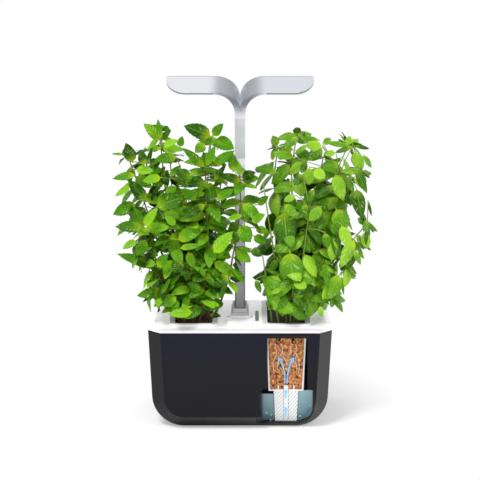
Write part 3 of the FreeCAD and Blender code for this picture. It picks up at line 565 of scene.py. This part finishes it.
class Foliage:
    """Leaves gathered into one mesh, with each point's place on its leaf and the leaf's own tone."""

    def __init__(self, plant, middle, ratio, shape, teeth, cup, seed):
        self.plant, self.middle, self.ratio, self.shape = plant, middle, ratio, shape
        self.teeth, self.cup = teeth, cup
        self.chance = random.Random(seed)
        self.points, self.faces = [], []
        self.values = {"tone": [], "across": [], "along": [], "fresh_and_lit": []}

    def leaf(self, place, ratio, fresh_and_lit, rows=15, half=3):
        """One leaf: rows of points from base to tip, folded along its middle and curling at the tip."""
        base, forward, upward, long, droop = place
        side = forward.cross(upward)
        first = len(self.points)
        twist, wave, curl = (self.chance.uniform(*limits) for limits in (TWIST, WAVE, CURL))
        tone = self.chance.random()
        for i in range(rows):
            t = i / (rows - 1)
            breadth = long * ratio / 2 * self.shape(t)
            for j in range(-half, half + 1):
                s = j / half
                toothed = abs(j) == half and 0 < i < rows - 1
                notch = self.teeth * (1 if i % 2 else -1) if toothed else 0
                aside = breadth * s * (1 + notch)
                ripple = CRINKLE * breadth * math.sin(wave + t * WAVES_ALONG + s * WAVE_ACROSS) * abs(s)
                raised = self.cup * breadth * s * s + ripple
                ahead = long * t * (1 - EDGE_PULL * s * s)
                drop = droop * long * t * t * curl
                above = raised + aside * twist * t - drop
                point = base + forward * ahead + side * aside + upward * above
                self.points.append(point * MM)
                for key, value in (("tone", tone), ("across", s), ("along", t), ("fresh_and_lit", fresh_and_lit)):
                    self.values[key].append(value)
        columns = 2 * half + 1
        for i in range(rows - 1):
            for j in range(columns - 1):
                a = first + i * columns + j
                self.faces.append((a, a + 1, a + columns + 1, a + columns))

    def along_stems(self, stems, spacing, length, lift, sway, droop, seed):
        """Leaves in crossed pairs along every stem."""
        for place in leaf_frames(stems, spacing, length, lift, sway, droop, seed):
            base, forward, upward, long, fall = place
            outward = Vector((base.x - self.middle, base.y - FRONT_BIAS, 0)).normalized()
            upward = upward + outward * LEAN
            upward = (upward - forward * upward.dot(forward)).normalized()
            place = (base, forward, upward, long, fall)
            half = forward.cross(upward) * long * self.ratio / 2
            spine = [base + forward * long * t - upward * long * fall * t * t for t in SPINE_SHARES]
            if free(spine + [spine[1] + half, spine[1] - half], self.plant):
                # Painted light: leaves nearer the front are made fresher, which paints their bases
                # yellower.
                young = YOUNG if long < length * YOUNG_SHARE else 0
                height = (base.z - FRESH_Z) / FRESH_RISE
                self.leaf(place, self.ratio, max(0.0, min(1.0, height + young - base.y / LIT_NEAR_DEPTH)))

    def facing(self, rows, view, stems):
        """Leaves that show their faces to the front, with a thin stalk for each from the nearest stem."""
        left, top, zoom = view
        stalks = []
        for k, (across, down, tip_across, tip_down, wide) in enumerate(rows):
            for step in range(FRONT_TRIES):
                depth = FRONT_NEAR - FRONT_LAYERS * ((k * LAYER_STEP + step * TRY_STEP) % 1)
                base = seen(left + across / zoom, top + down / zoom, depth)
                tip = seen(left + tip_across / zoom, top + tip_down / zoom, depth - TIP_NEARER)
                forward = (tip - base).normalized()
                upward = (FACING - forward * FACING.dot(forward)).normalized()
                long = (tip - base).length
                half = forward.cross(upward) * wide / zoom * MM_PER_PIXEL / 2
                middle = (base + tip) / 2
                if free((base, middle + half, middle - half, tip), self.plant):
                    # Painted light in part: front leaves get a high freshness, which paints their bases
                    # yellower.
                    fresh_and_lit = self.chance.uniform(*FRONT_FRESH_AND_LIT)
                    ratio = wide / zoom * MM_PER_PIXEL / long
                    self.leaf((base, forward, upward, long, FRONT_DROOP), ratio, fresh_and_lit)
                    root = nearest(base, stems)
                    stalks.append([root, (root + base) / 2 + STALK_BOW, base])
                    break
        return stalks

    def finished(self, name, finish, body):
        return meshed(name, self.points, self.faces, finish, body, stored=self.values)


def nearest(point, stems):
    """The spot of any stem that is nearest to a point, and not above it."""
    steps, above = 12, 2
    runs = [(Vector(a), Vector(b)) for line in stems for a, b in zip(line, line[1:])]
    spots = [a.lerp(b, k / steps) for a, b in runs for k in range(steps + 1)]
    kept = [spot for spot in spots if LEAF_LOW < spot.z < point.z + above]
    return min(kept, key=lambda spot: (spot - point).length, default=Vector(stems[0][0]))


def mint_shape(t):
    """Half the breadth of a mint leaf at a share of its length: a short stalk, then a long blade."""
    blade = max(0.0, (t - 0.07) / 0.93)
    return 0.07 + 0.93 * math.sin(math.pi * blade ** 0.78) ** 0.66 if 0 < blade < 1 else 0.06 * (1 - t)


def basil_shape(t):
    """Half the breadth of a basil leaf, with a longer stalk and a rounder blade."""
    blade = max(0.0, (t - 0.09) / 0.91)
    return 0.06 + 0.94 * math.sin(math.pi * blade ** 0.82) ** 0.62 if 0 < blade < 1 else 0.06 * (1 - t)


def tubes(name, lines, finish, body):
    """Round stalks through points, thinner towards the tip. A path comes with its first and last radius."""
    sides, stem_steps, stalk_steps = 8, 14, 4
    points, faces = [], []
    for path, thick, thin in lines:
        total = sum((b - a).length for a, b in zip(path, path[1:]))
        steps = stem_steps if thick > 1 else stalk_steps
        first = len(points)
        for i in range(steps + 1):
            spot, axis = along(path, total * i / steps)
            r = thick + (thin - thick) * i / steps
            points += [(spot + direction(360 / sides * j, axis) * r) * MM for j in range(sides)]
        for i in range(steps):
            for j in range(sides):
                a, b = first + sides * i + j, first + sides * i + (j + 1) % sides
                faces.append((a, b, b + sides, a + sides))
        faces.append([first + sides * steps + j for j in range(sides)])
    return meshed(name, points, faces, finish, body)


def leaf_finish(name, dark, mid, bright, young, highlight_green, vein, roughness, veins, gloss):
    """Leaf green that varies from leaf to leaf, with veins drawn from the stored place on the leaf, a
    painted sheen between the veins, painted shade along the edges, and a yellower base on fresh and
    front-lit leaves.
    """
    dark_tone, bright_tone, young_end, young_share = (0.05, 0.5), (0.62, 0.98), (0.45, 0.02), 0.7
    rib_slant, rib_line, rib_fade, midrib = 1.6, (0.42, 0.49), (1.0, 0.7), (0.09, 0.03)
    field, field_edge, field_middle, field_patch = (0.34, 0.05), (0.95, 0.6), (0.12, 0.3), (0.46, 0.66)
    pale_share, rim_edge, rim_share, vein_share = 0.55, (0.86, 1.0), 0.35, 0.4
    look = Finish(name, mid, roughness, Specular_IOR_Level=gloss)
    tone, across, length, fresh_and_lit = (look.stored(key) for key in ("tone", "across", "along", "fresh_and_lit"))
    patch = look.noise(70.0, 3.0)
    body = look.blend((tone + patch * 0.5 - 0.25).ramp(*dark_tone), dark, mid)
    body = look.blend((tone * 0.8 + patch * 0.4).ramp(*bright_tone), body, bright)
    # A yellower base where a leaf is fresh; nearness to the front adds to it as painted light.
    body = look.blend(length.ramp(*young_end) * (fresh_and_lit * young_share), body, young)
    ribs = ((length * veins - across.size() * rib_slant).saw() - 0.5).size()
    rib = ribs.ramp(*rib_line) * across.size().ramp(*rib_fade)
    middle = across.size().ramp(*midrib)
    # Painted highlight: pale patches between the side veins stand in for sheen.
    between = ribs.ramp(*field) * across.size().ramp(*field_edge) * across.size().ramp(*field_middle)
    painted_sheen = between * look.noise(110.0, 2.0).ramp(*field_patch)
    body = look.blend(painted_sheen * pale_share, body, highlight_green)
    # Painted shade: a darker rim along each leaf's edges.
    painted_shade_rim = across.size().ramp(*rim_edge)
    body = look.blend(painted_shade_rim * rim_share, body, dark)
    look.put("Base Color", look.blend(rib.largest(middle) * vein_share, body, vein))
    look.bump(rib.largest(middle) * -1.0 + look.noise(300.0, 2.0) * 0.6, 0.7, 0.0008)
    return look


def stalk_finish(name, low_colour, high_colour, low, high):
    look = Finish(name, high_colour, 0.5, Specular_IOR_Level=0.2)
    height = look.parts(look.place())[2].ramp(low, high)
    look.put("Base Color", look.blend(height, low_colour, high_colour))
    return look


# Leaves that show their faces, placed in an enlarged part of the photograph: the base, the tip
# and the width, in that part's own steps. A few of them only fill gaps between others. A view is the
# part's corner in the photograph and its enlargement.
MINT_VIEW = (110, 110, 7.127)
MINT_FRONT = [
    (375, 215, 252, 95, 75), (365, 205, 345, 72, 40), (370, 210, 428, 142, 40), (380, 250, 490, 212, 45),
    (500, 262, 515, 190, 45), (375, 270, 262, 275, 30), (380, 260, 470, 300, 50), (480, 340, 320, 345, 70),
    (725, 190, 537, 105, 100), (735, 185, 803, 97, 60), (750, 210, 890, 270, 95), (735, 180, 715, 255, 65),
    (680, 240, 610, 300, 70), (740, 395, 882, 285, 60), (680, 410, 530, 268, 55), (685, 405, 670, 300, 35),
    (690, 400, 745, 260, 50), (165, 375, 120, 240, 75), (95, 318, 15, 308, 16), (245, 390, 225, 290, 60),
    (270, 385, 300, 270, 30), (185, 460, 20, 485, 55), (185, 425, 310, 430, 60), (150, 545, 38, 610, 45),
    (370, 480, 235, 500, 60), (265, 655, 140, 500, 80), (190, 670, 22, 740, 85), (330, 690, 525, 610, 110),
    (400, 600, 470, 545, 60), (240, 835, 43, 825, 80), (245, 845, 430, 830, 70), (235, 830, 180, 700, 60),
    (245, 830, 330, 700, 60), (710, 595, 900, 600, 60), (900, 640, 790, 705, 50), (690, 670, 508, 765, 60),
    (710, 730, 838, 848, 70), (945, 750, 840, 775, 40), (480, 930, 670, 825, 90), (480, 840, 640, 815, 35),
    (470, 820, 400, 755, 50), (465, 915, 455, 1055, 85), (510, 1075, 460, 1160, 85),
    (500, 985, 645, 960, 45), (700, 930, 660, 1108, 130), (740, 1020, 868, 868, 90),
    (735, 1080, 932, 1188, 75), (350, 1125, 60, 1015, 70), (260, 925, 190, 1038, 75),
    (190, 930, 92, 985, 50), (340, 1120, 410, 1030, 70), (380, 1290, 195, 1320, 75),
    (350, 1145, 330, 1235, 50), (480, 1330, 365, 1390, 80), (575, 1275, 440, 1250, 60),
    (595, 1440, 420, 1450, 70), (550, 1320, 545, 1420, 50), (700, 1240, 595, 1120, 70),
    (700, 1385, 780, 1390, 45), (715, 1460, 792, 1465, 35), (685, 1380, 665, 1465, 35),
    (850, 1180, 740, 1260, 80), (830, 1240, 790, 1340, 40), (925, 830, 1010, 940, 100),
    (900, 1010, 1010, 1080, 75), (925, 900, 860, 960, 50), (945, 665, 1080, 775, 75),
    (940, 510, 790, 455, 60), (940, 500, 1065, 480, 60), (935, 470, 912, 362, 40),
    (940, 480, 1035, 440, 60), (880, 440, 880, 310, 60), (745, 500, 820, 395, 40), (690, 450, 570, 425, 50),
    (700, 515, 500, 535, 45), (430, 470, 500, 395, 40), (580, 480, 480, 430, 70), (620, 640, 520, 560, 60),
    (600, 760, 480, 700, 70), (760, 640, 880, 560, 60), (560, 1010, 600, 1130, 60),
    (520, 1180, 600, 1240, 50), (650, 1290, 560, 1230, 60), (620, 860, 740, 800, 60),
    (1012, 798, 1098, 741, 60), (1026, 898, 1119, 948, 60), (1041, 841, 1133, 870, 55),
    (1012, 990, 1085, 1040, 60), (1055, 677, 1126, 613, 50),
]
BASIL_VIEW = (240, 120, 7.464)
BASIL_FRONT = [
    (440, 100, 278, 137, 40), (445, 120, 318, 205, 60), (430, 110, 430, 57, 55), (470, 130, 485, 95, 25),
    (410, 275, 247, 235, 60), (600, 150, 470, 125, 35), (620, 190, 500, 180, 70), (620, 200, 510, 300, 80),
    (510, 180, 410, 250, 35), (620, 170, 680, 140, 50), (830, 190, 650, 160, 40), (840, 200, 715, 235, 35),
    (840, 170, 800, 135, 60), (860, 190, 970, 207, 30), (850, 235, 925, 370, 85), (930, 260, 988, 355, 35),
    (720, 240, 635, 255, 40), (750, 330, 610, 340, 80), (475, 310, 372, 400, 70), (500, 310, 460, 395, 45),
    (520, 350, 520, 485, 80), (555, 365, 640, 430, 80), (470, 400, 405, 485, 60), (290, 390, 128, 345, 55),
    (110, 400, 20, 400, 70), (200, 400, 60, 480, 40), (350, 400, 150, 470, 60), (410, 520, 260, 500, 50),
    (270, 590, 280, 720, 65), (335, 625, 430, 720, 70), (330, 675, 360, 945, 150), (290, 760, 235, 790, 50),
    (615, 645, 515, 750, 75), (725, 480, 545, 580, 60), (735, 570, 660, 665, 75), (715, 395, 780, 605, 90),
    (870, 505, 920, 740, 90), (865, 350, 960, 550, 55), (850, 430, 940, 520, 30), (960, 600, 988, 720, 20),
    (935, 755, 1035, 830, 30), (930, 835, 958, 965, 65), (855, 965, 908, 1080, 40),
    (850, 970, 790, 1115, 80), (810, 1100, 822, 1198, 20), (860, 880, 745, 1110, 80),
    (720, 660, 800, 825, 120), (640, 680, 720, 785, 45), (630, 690, 560, 790, 80), (455, 820, 530, 990, 95),
    (640, 840, 660, 960, 60), (700, 890, 690, 1060, 70), (610, 960, 535, 975, 50),
    (375, 975, 405, 1270, 160), (190, 1015, 110, 1200, 110), (100, 1170, 70, 1262, 35),
    (290, 1155, 200, 1322, 115), (280, 1040, 225, 1130, 55), (120, 1190, 160, 1290, 40),
    (300, 970, 195, 1000, 60), (330, 960, 320, 1050, 70), (470, 1170, 420, 1365, 90),
    (480, 1090, 530, 1220, 70), (750, 1150, 650, 1345, 100), (760, 1160, 780, 1310, 22),
    (330, 1315, 320, 1470, 95), (290, 1310, 260, 1425, 50), (380, 1350, 455, 1405, 60),
    (530, 1480, 410, 1520, 80), (405, 1525, 240, 1520, 40), (600, 1370, 530, 1410, 60),
    (600, 1385, 615, 1470, 40), (600, 1225, 560, 1345, 80), (530, 1320, 470, 1350, 50),
    (760, 780, 830, 960, 80), (560, 520, 480, 620, 70), (230, 520, 120, 600, 50), (210, 620, 150, 720, 60),
    (240, 860, 150, 930, 60), (420, 560, 330, 600, 50), (590, 1060, 640, 1180, 70),
    (700, 1120, 640, 1240, 70), (480, 620, 520, 760, 60), (120, 820, 180, 930, 60),
]

# How they stand in front of the plants: the millimetres that one pixel spans there, the nearest layer, how
# deep the layers go, and how the next leaf and the next try at one leaf change its layer. Each tips forward
# and hangs on a stalk that bows up.
MM_PER_PIXEL = 1.3
FRONT_NEAR = -26
FRONT_LAYERS = 40
FRONT_TRIES = 14
LAYER_STEP = 0.618
TRY_STEP = 0.38
TIP_NEARER = 6
FRONT_DROOP = 0.14
FRONT_FRESH_AND_LIT = (0.35, 1.0)
STALK_BOW = Vector((0, 0, 1.5))
FACING = Vector((0, -0.86, 0.5))

mint_green = leaf_finish(
    "mint_leaf", dark=linear(26, 72, 0), mid=linear(70, 134, 2), bright=linear(132, 190, 34),
    young=linear(178, 206, 12), highlight_green=linear(152, 206, 96), vein=linear(142, 186, 60),
    roughness=0.45, veins=7.0, gloss=0.1)
basil_green = leaf_finish(
    "basil_leaf", dark=linear(42, 92, 0), mid=linear(84, 144, 2), bright=linear(146, 196, 46),
    young=linear(172, 204, 26), highlight_green=linear(172, 212, 116), vein=linear(158, 196, 80),
    roughness=0.38, veins=5.0, gloss=0.16)
mint = Foliage("mint", middle=-60, ratio=0.56, shape=mint_shape, teeth=0.045, cup=0.18, seed=107)
mint.along_stems(MINT_STEMS, spacing=14, length=27, lift=-4, sway=30, droop=0.35, seed=7)
mint.along_stems(MINT_STEMS, spacing=20, length=24, lift=-12, sway=34, droop=0.3, seed=8)
basil = Foliage("basil", middle=64, ratio=0.58, shape=basil_shape, teeth=0.0, cup=-0.28, seed=111)
basil.along_stems(BASIL_STEMS, spacing=19, length=36, lift=-18, sway=26, droop=0.5, seed=11)
basil.along_stems(BASIL_STEMS, spacing=29, length=30, lift=-8, sway=30, droop=0.4, seed=12)


def plant(name, stems, foliage, front, view, leaf_look, stalk_look, body):
    """A plant on its cartridge, in place of the frame's stems and leaves."""
    thick, thin = 0.6, 0.5
    stalks = [([Vector(point) for point in line], STEM_RADIUS, STEM_RADIUS / 2) for line in stems]
    stalks += [(line, thick, thin) for line in foliage.facing(front, view, stems)]
    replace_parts(tubes(name + "_stalks", stalks, stalk_look, body), name + "_stems")
    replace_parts(foliage.finished(name + "_foliage", leaf_look, body), name + "_leaves")


mint_stalk = stalk_finish("mint_stalk", linear(96, 62, 40), linear(104, 130, 56), low=0.13, high=0.26)
plant("mint", MINT_STEMS, mint, MINT_FRONT, MINT_VIEW, mint_green, mint_stalk, "cartridge_left")
basil_stalk = stalk_finish("basil_stalk", linear(98, 124, 44), linear(136, 172, 70), low=0.13, high=0.24)
plant("basil", BASIL_STEMS, basil, BASIL_FRONT, BASIL_VIEW, basil_green, basil_stalk, "cartridge_right")


# Water behind the window, in two faces beside the wick column

def water_finish():
    surface_z, floor_z = 0.046, 0.004
    look = Finish("water", linear(120, 166, 180), 0.08, Alpha=0.95)
    place = look.place()
    # Painted shade: the water is lighter just under its surface and darker towards the floor.
    depth = look.parts(place)[2].ramp(surface_z, floor_z)
    ripple = look.noise(40.0, 3.0, place.scaled(1.0, 1.0, 3.0))
    tone = look.blend(depth * 0.8 + ripple * 0.3 - 0.1, linear(176, 214, 224), linear(104, 148, 164))
    look.put("Base Color", tone)
    return look


# The sheets' plane, foot and tops (left lower than right), the left one's outer edge, and the tank's
# rounded corner that the right one follows. The wick column widens upwards from its foot.
WATER_Y = -0.0416
WATER_LOW = 0.0046
WATER_TOPS = {-1: 0.0368, 1: 0.0412}
WATER_LEFT = 0.0165
CORNER_X, CORNER_Z, CORNER_RADIUS, CORNER_GAP = 0.063, 0.0386, 0.0354, 0.0016
WICK_HALF, WICK_WIDENS, WICK_LOW, WICK_HIGH, WICK_GAP = 0.01275, 0.00175, 0.0039, 0.0366, 0.0006


def water_face(name, side):
    """One upright sheet of water, from the wick column out to the tank's wall."""
    steps = 12
    points = []
    for k in range(steps + 1):
        z = WATER_LOW + (WATER_TOPS[side] - WATER_LOW) * k / steps
        inner = SECTION_X + side * (WICK_HALF + WICK_WIDENS * (z - WICK_LOW) / WICK_HIGH + WICK_GAP)
        if side < 0:
            outer = WATER_LEFT
        else:
            fall = min(CORNER_RADIUS, max(0.0, CORNER_Z - z))
            outer = CORNER_X + math.sqrt(CORNER_RADIUS ** 2 - fall ** 2) - CORNER_GAP
        points += [(inner, WATER_Y, z), (outer, WATER_Y, z)]
    faces = [(2 * k, 2 * k + 1, 2 * k + 3, 2 * k + 2) for k in range(steps)]
    return meshed(name, points, faces, water, "base", smooth=False)


water = water_finish()
water_face("water_left", -1)
water_face("water_right", 1)


# Section: what its cut faces show, placed in an enlarged part of the photograph. The section's
# middle line and the pot's floor in that part's steps come first, then how many metres one step is
# across and up, and where the pot's floor is.

SECTION_MIDDLE = 515
SECTION_FLOOR = 955
STEP_ACROSS = 0.0000776
STEP_UP = 0.0000803
POT_FLOOR_Z = 0.0443


def on_section(across, down, depth):
    x = SECTION_X + (across - SECTION_MIDDLE) * STEP_ACROSS
    z = POT_FLOOR_Z + (SECTION_FLOOR - down) * STEP_UP
    return Vector((x, depth, z))


def tiles(name, shapes, finish, body, front, thick=0.0002):
    """Thin flat plates with the outlines given, a little in front of a cut face."""
    points, faces = [], []
    for outline in shapes:
        first, count = len(points), len(outline)
        points += [on_section(*corner, front) for corner in outline]
        points += [on_section(*corner, front + thick) for corner in outline]
        faces.append([first + k for k in range(count)])
        faces.append([first + count + k for k in reversed(range(count))])
        for k in range(count):
            after = (k + 1) % count
            faces.append((first + after, first + k, first + count + k, first + count + after))
    return meshed(name, points, faces, finish, body, smooth=False)


def ribbon(line, widths):
    """The outline of a strip along a line, with its own width at each point."""
    left, right = [], []
    for k, (across, down) in enumerate(line):
        before, after = line[max(k - 1, 0)], line[min(k + 1, len(line) - 1)]
        run = Vector((after[0] - before[0], after[1] - before[1])).normalized()
        half = widths[k] / 2
        left.append((across - run.y * half, down + run.x * half))
        right.append((across + run.y * half, down - run.x * half))
    return left + right[::-1]


def disc(across, down, radius, corners=9):
    turns = [2 * math.pi * k / corners for k in range(corners)]
    return [(across + radius * math.cos(turn), down - radius * math.sin(turn)) for turn in turns]


def bright(name, colour, strength=0.35):
    """A finish with a little light of its own, for what is drawn on the section."""
    look = Finish(name, colour, 0.6, Specular_IOR_Level=0.1)
    look.put("Emission Color", colour)
    look.put("Emission Strength", strength)
    return look


ROOTS = [
    [(360, 285), (345, 320), (368, 400), (362, 480)],
    [(425, 280), (455, 320), (462, 390), (470, 490), (505, 545), (532, 600)], [(455, 400), (425, 470)],
    [(362, 480), (318, 560), (320, 640), (335, 725)], [(395, 560), (380, 670)],
    [(590, 320), (580, 400), (545, 470), (540, 545)], [(650, 285), (672, 330), (665, 400), (625, 480)],
    [(575, 330), (590, 400), (585, 450)], [(668, 430), (700, 520), (712, 600), (705, 730)],
    [(665, 440), (662, 560), (680, 690)], [(620, 560), (612, 640)],
]
PERLITE = [(505, 325), (330, 420), (735, 420), (605, 290), (395, 580), (518, 665), (715, 770), (315, 850),
           (722, 530)]
GRIT = [(455, 245), (535, 370), (610, 440), (695, 330), (355, 530), (395, 645), (605, 695), (690, 635),
        (470, 765), (455, 850), (365, 875), (550, 885), (430, 590), (520, 725)]
SEED_HOLES = [[(360, 180), (440, 180), (425, 245), (410, 285), (365, 285)],
              [(600, 180), (650, 180), (665, 245), (655, 285), (600, 285)]]
SHOOTS = [[(372, 245), (392, 205), (418, 165)], [(655, 245), (640, 205), (622, 165)]]
SEEDS = [(400, 258), (632, 258)]
FLOW = [[(496, 885), (496, 800), (488, 700), (466, 620), (432, 545)],
        [(535, 885), (533, 790), (546, 690), (568, 610), (602, 535)]]
FLOW_TIPS = [[(388, 560), (396, 483), (468, 520), (440, 530)],
             [(636, 560), (630, 483), (560, 520), (590, 530)]]
RISERS = [[(513, 975), (542, 1030), (527, 1030), (522, 1120), (504, 1120), (499, 1030), (484, 1030)],
          [(513, 1240), (542, 1292), (527, 1292), (522, 1380), (504, 1380), (499, 1292), (484, 1292)]]
BUBBLES = [(222, 1340, 12), (295, 1375, 11), (284, 1450, 11), (730, 1390, 12), (882, 1225, 9)]

LINE, SHOOT, STREAM = 9, 11, (13, 15, 18, 22, 26)
PEARL, GRAIN, GRAIN_CORNERS, SEED = 15, 12, 7, 20
LAYER = 0.0003

root_white = bright("root_white", linear(232, 206, 182))
flow_blue = bright("flow_blue", linear(118, 198, 246), 0.5)
perlite_yellow = bright("perlite_yellow", linear(252, 206, 76))
grit_dark = bright("grit_dark", linear(34, 22, 16), 0.0)
# Painted shade: a dark fill stands in for the shade inside the seed holes.
hole_painted_shade = bright("hole_painted_shade", linear(44, 22, 14), 0.0)
seed_brown = bright("seed_brown", linear(196, 122, 84), 0.2)
shoot_green = bright("shoot_green", linear(118, 170, 66), 0.2)
roots = [ribbon(line, [LINE] * len(line)) for line in ROOTS]
shoots = [ribbon(line, [SHOOT] * len(line)) for line in SHOOTS]
flow = [ribbon(line, STREAM) for line in FLOW] + FLOW_TIPS
for name, shapes, finish, layer in (
        ("roots", roots, root_white, 1),
        ("perlite", [disc(*spot, PEARL) for spot in PERLITE], perlite_yellow, 2),
        ("grit", [disc(*spot, GRAIN, GRAIN_CORNERS) for spot in GRIT], grit_dark, 3),
        ("seed_holes", SEED_HOLES, hole_painted_shade, 4),
        ("seeds", [disc(*spot, SEED) for spot in SEEDS], seed_brown, 5),
        ("shoots", shoots, shoot_green, 6),
        ("flow", flow, flow_blue, 7),
        ("risers", RISERS, flow_blue, 1)):
    tiles(name, shapes, finish, "cartridge_right", SECTION_Y - LAYER * layer)
bubble_white = bright("bubble_white", linear(214, 232, 236), 0.2)
tiles("bubbles", [disc(*spot) for spot in BUBBLES], bubble_white, "base", WATER_Y - 0.0004)


# Studio: white floor, soft light, camera

FLOOR_HALF, FLOOR_LOW = 6, -0.0002
FLOOR_NEAR, FLOOR_FAR = 0.13, 0.27
SIDE_STRETCH, WHITE_NEAR, WHITE_ADDED = 1.7, 0.32, 0.68
ROOM_LIGHT = 0.72
ROOM_MIDDLE = (0, 0, 0.2)


def floor():
    """A white floor that keeps the garden's shadow close to it and is plain white farther out."""
    mesh = bpy.data.meshes.new("floor")
    signs = ((-1, -1), (1, -1), (1, 1), (-1, 1))
    mesh.from_pydata([(x * FLOOR_HALF, y * FLOOR_HALF, FLOOR_LOW) for x, y in signs], [], [(0, 1, 2, 3)])
    look = Finish("floor", WHITE, 0.9, Specular_IOR_Level=0.0)
    x, y, _ = look.parts(look.place())
    far = (x * x * SIDE_STRETCH + y * y).ramp(FLOOR_NEAR ** 2, FLOOR_FAR ** 2)
    white = look.node("ShaderNodeEmission", {}, {})
    share = far * WHITE_ADDED + WHITE_NEAR
    look.lit_for_camera("Material Output", look.surface, white, share, ("Is Camera Ray",))
    mesh.materials.append(look.material)
    item = bpy.data.objects.new("floor", mesh)
    bpy.context.scene.collection.objects.link(item)


def backdrop():
    """White for the camera and in reflections and glass, a soft grey room for the light."""
    world = bpy.data.worlds.new("room")
    bpy.context.scene.world = world
    room = Shader(world)
    plain = room.nodes["Background"]
    room.plug(plain.inputs["Color"], WHITE)
    room.plug(plain.inputs["Strength"], ROOM_LIGHT)
    white = room.node("ShaderNodeBackground", {}, {"Color": WHITE, "Strength": 1.0})
    rays = ("Is Camera Ray", "Is Glossy Ray", "Is Transmission Ray")
    room.lit_for_camera("World Output", plain, white, 1.0, rays)


def lamp(name, place, aim, size, watts):
    light = bpy.data.lights.new(name, "AREA")
    light.size = size
    light.energy = watts
    item = bpy.data.objects.new(name, light)
    item.location = place
    item.rotation_euler = (Vector(aim) - Vector(place)).to_track_quat("-Z", "Y").to_euler()
    bpy.context.scene.collection.objects.link(item)


floor()
backdrop()
lamp("key", (-0.9, -1.3, 2.6), ROOM_MIDDLE, size=0.9, watts=54)
lamp("fill", (1.8, -1.2, 1.2), ROOM_MIDDLE, size=1.4, watts=10)

camera = bpy.data.cameras.new("camera")
camera.sensor_width = 36
camera.lens = FOCAL * camera.sensor_width / VIEW
eye = bpy.data.objects.new("camera", camera)
eye.location = EYE
eye.rotation_euler = (math.radians(90) - TILT + math.atan((AIM_SEEN[1] - VIEW / 2) / FOCAL), 0, 0)
bpy.context.scene.collection.objects.link(eye)
bpy.context.scene.camera = eye
bpy.context.scene.view_settings.view_transform = "Standard"
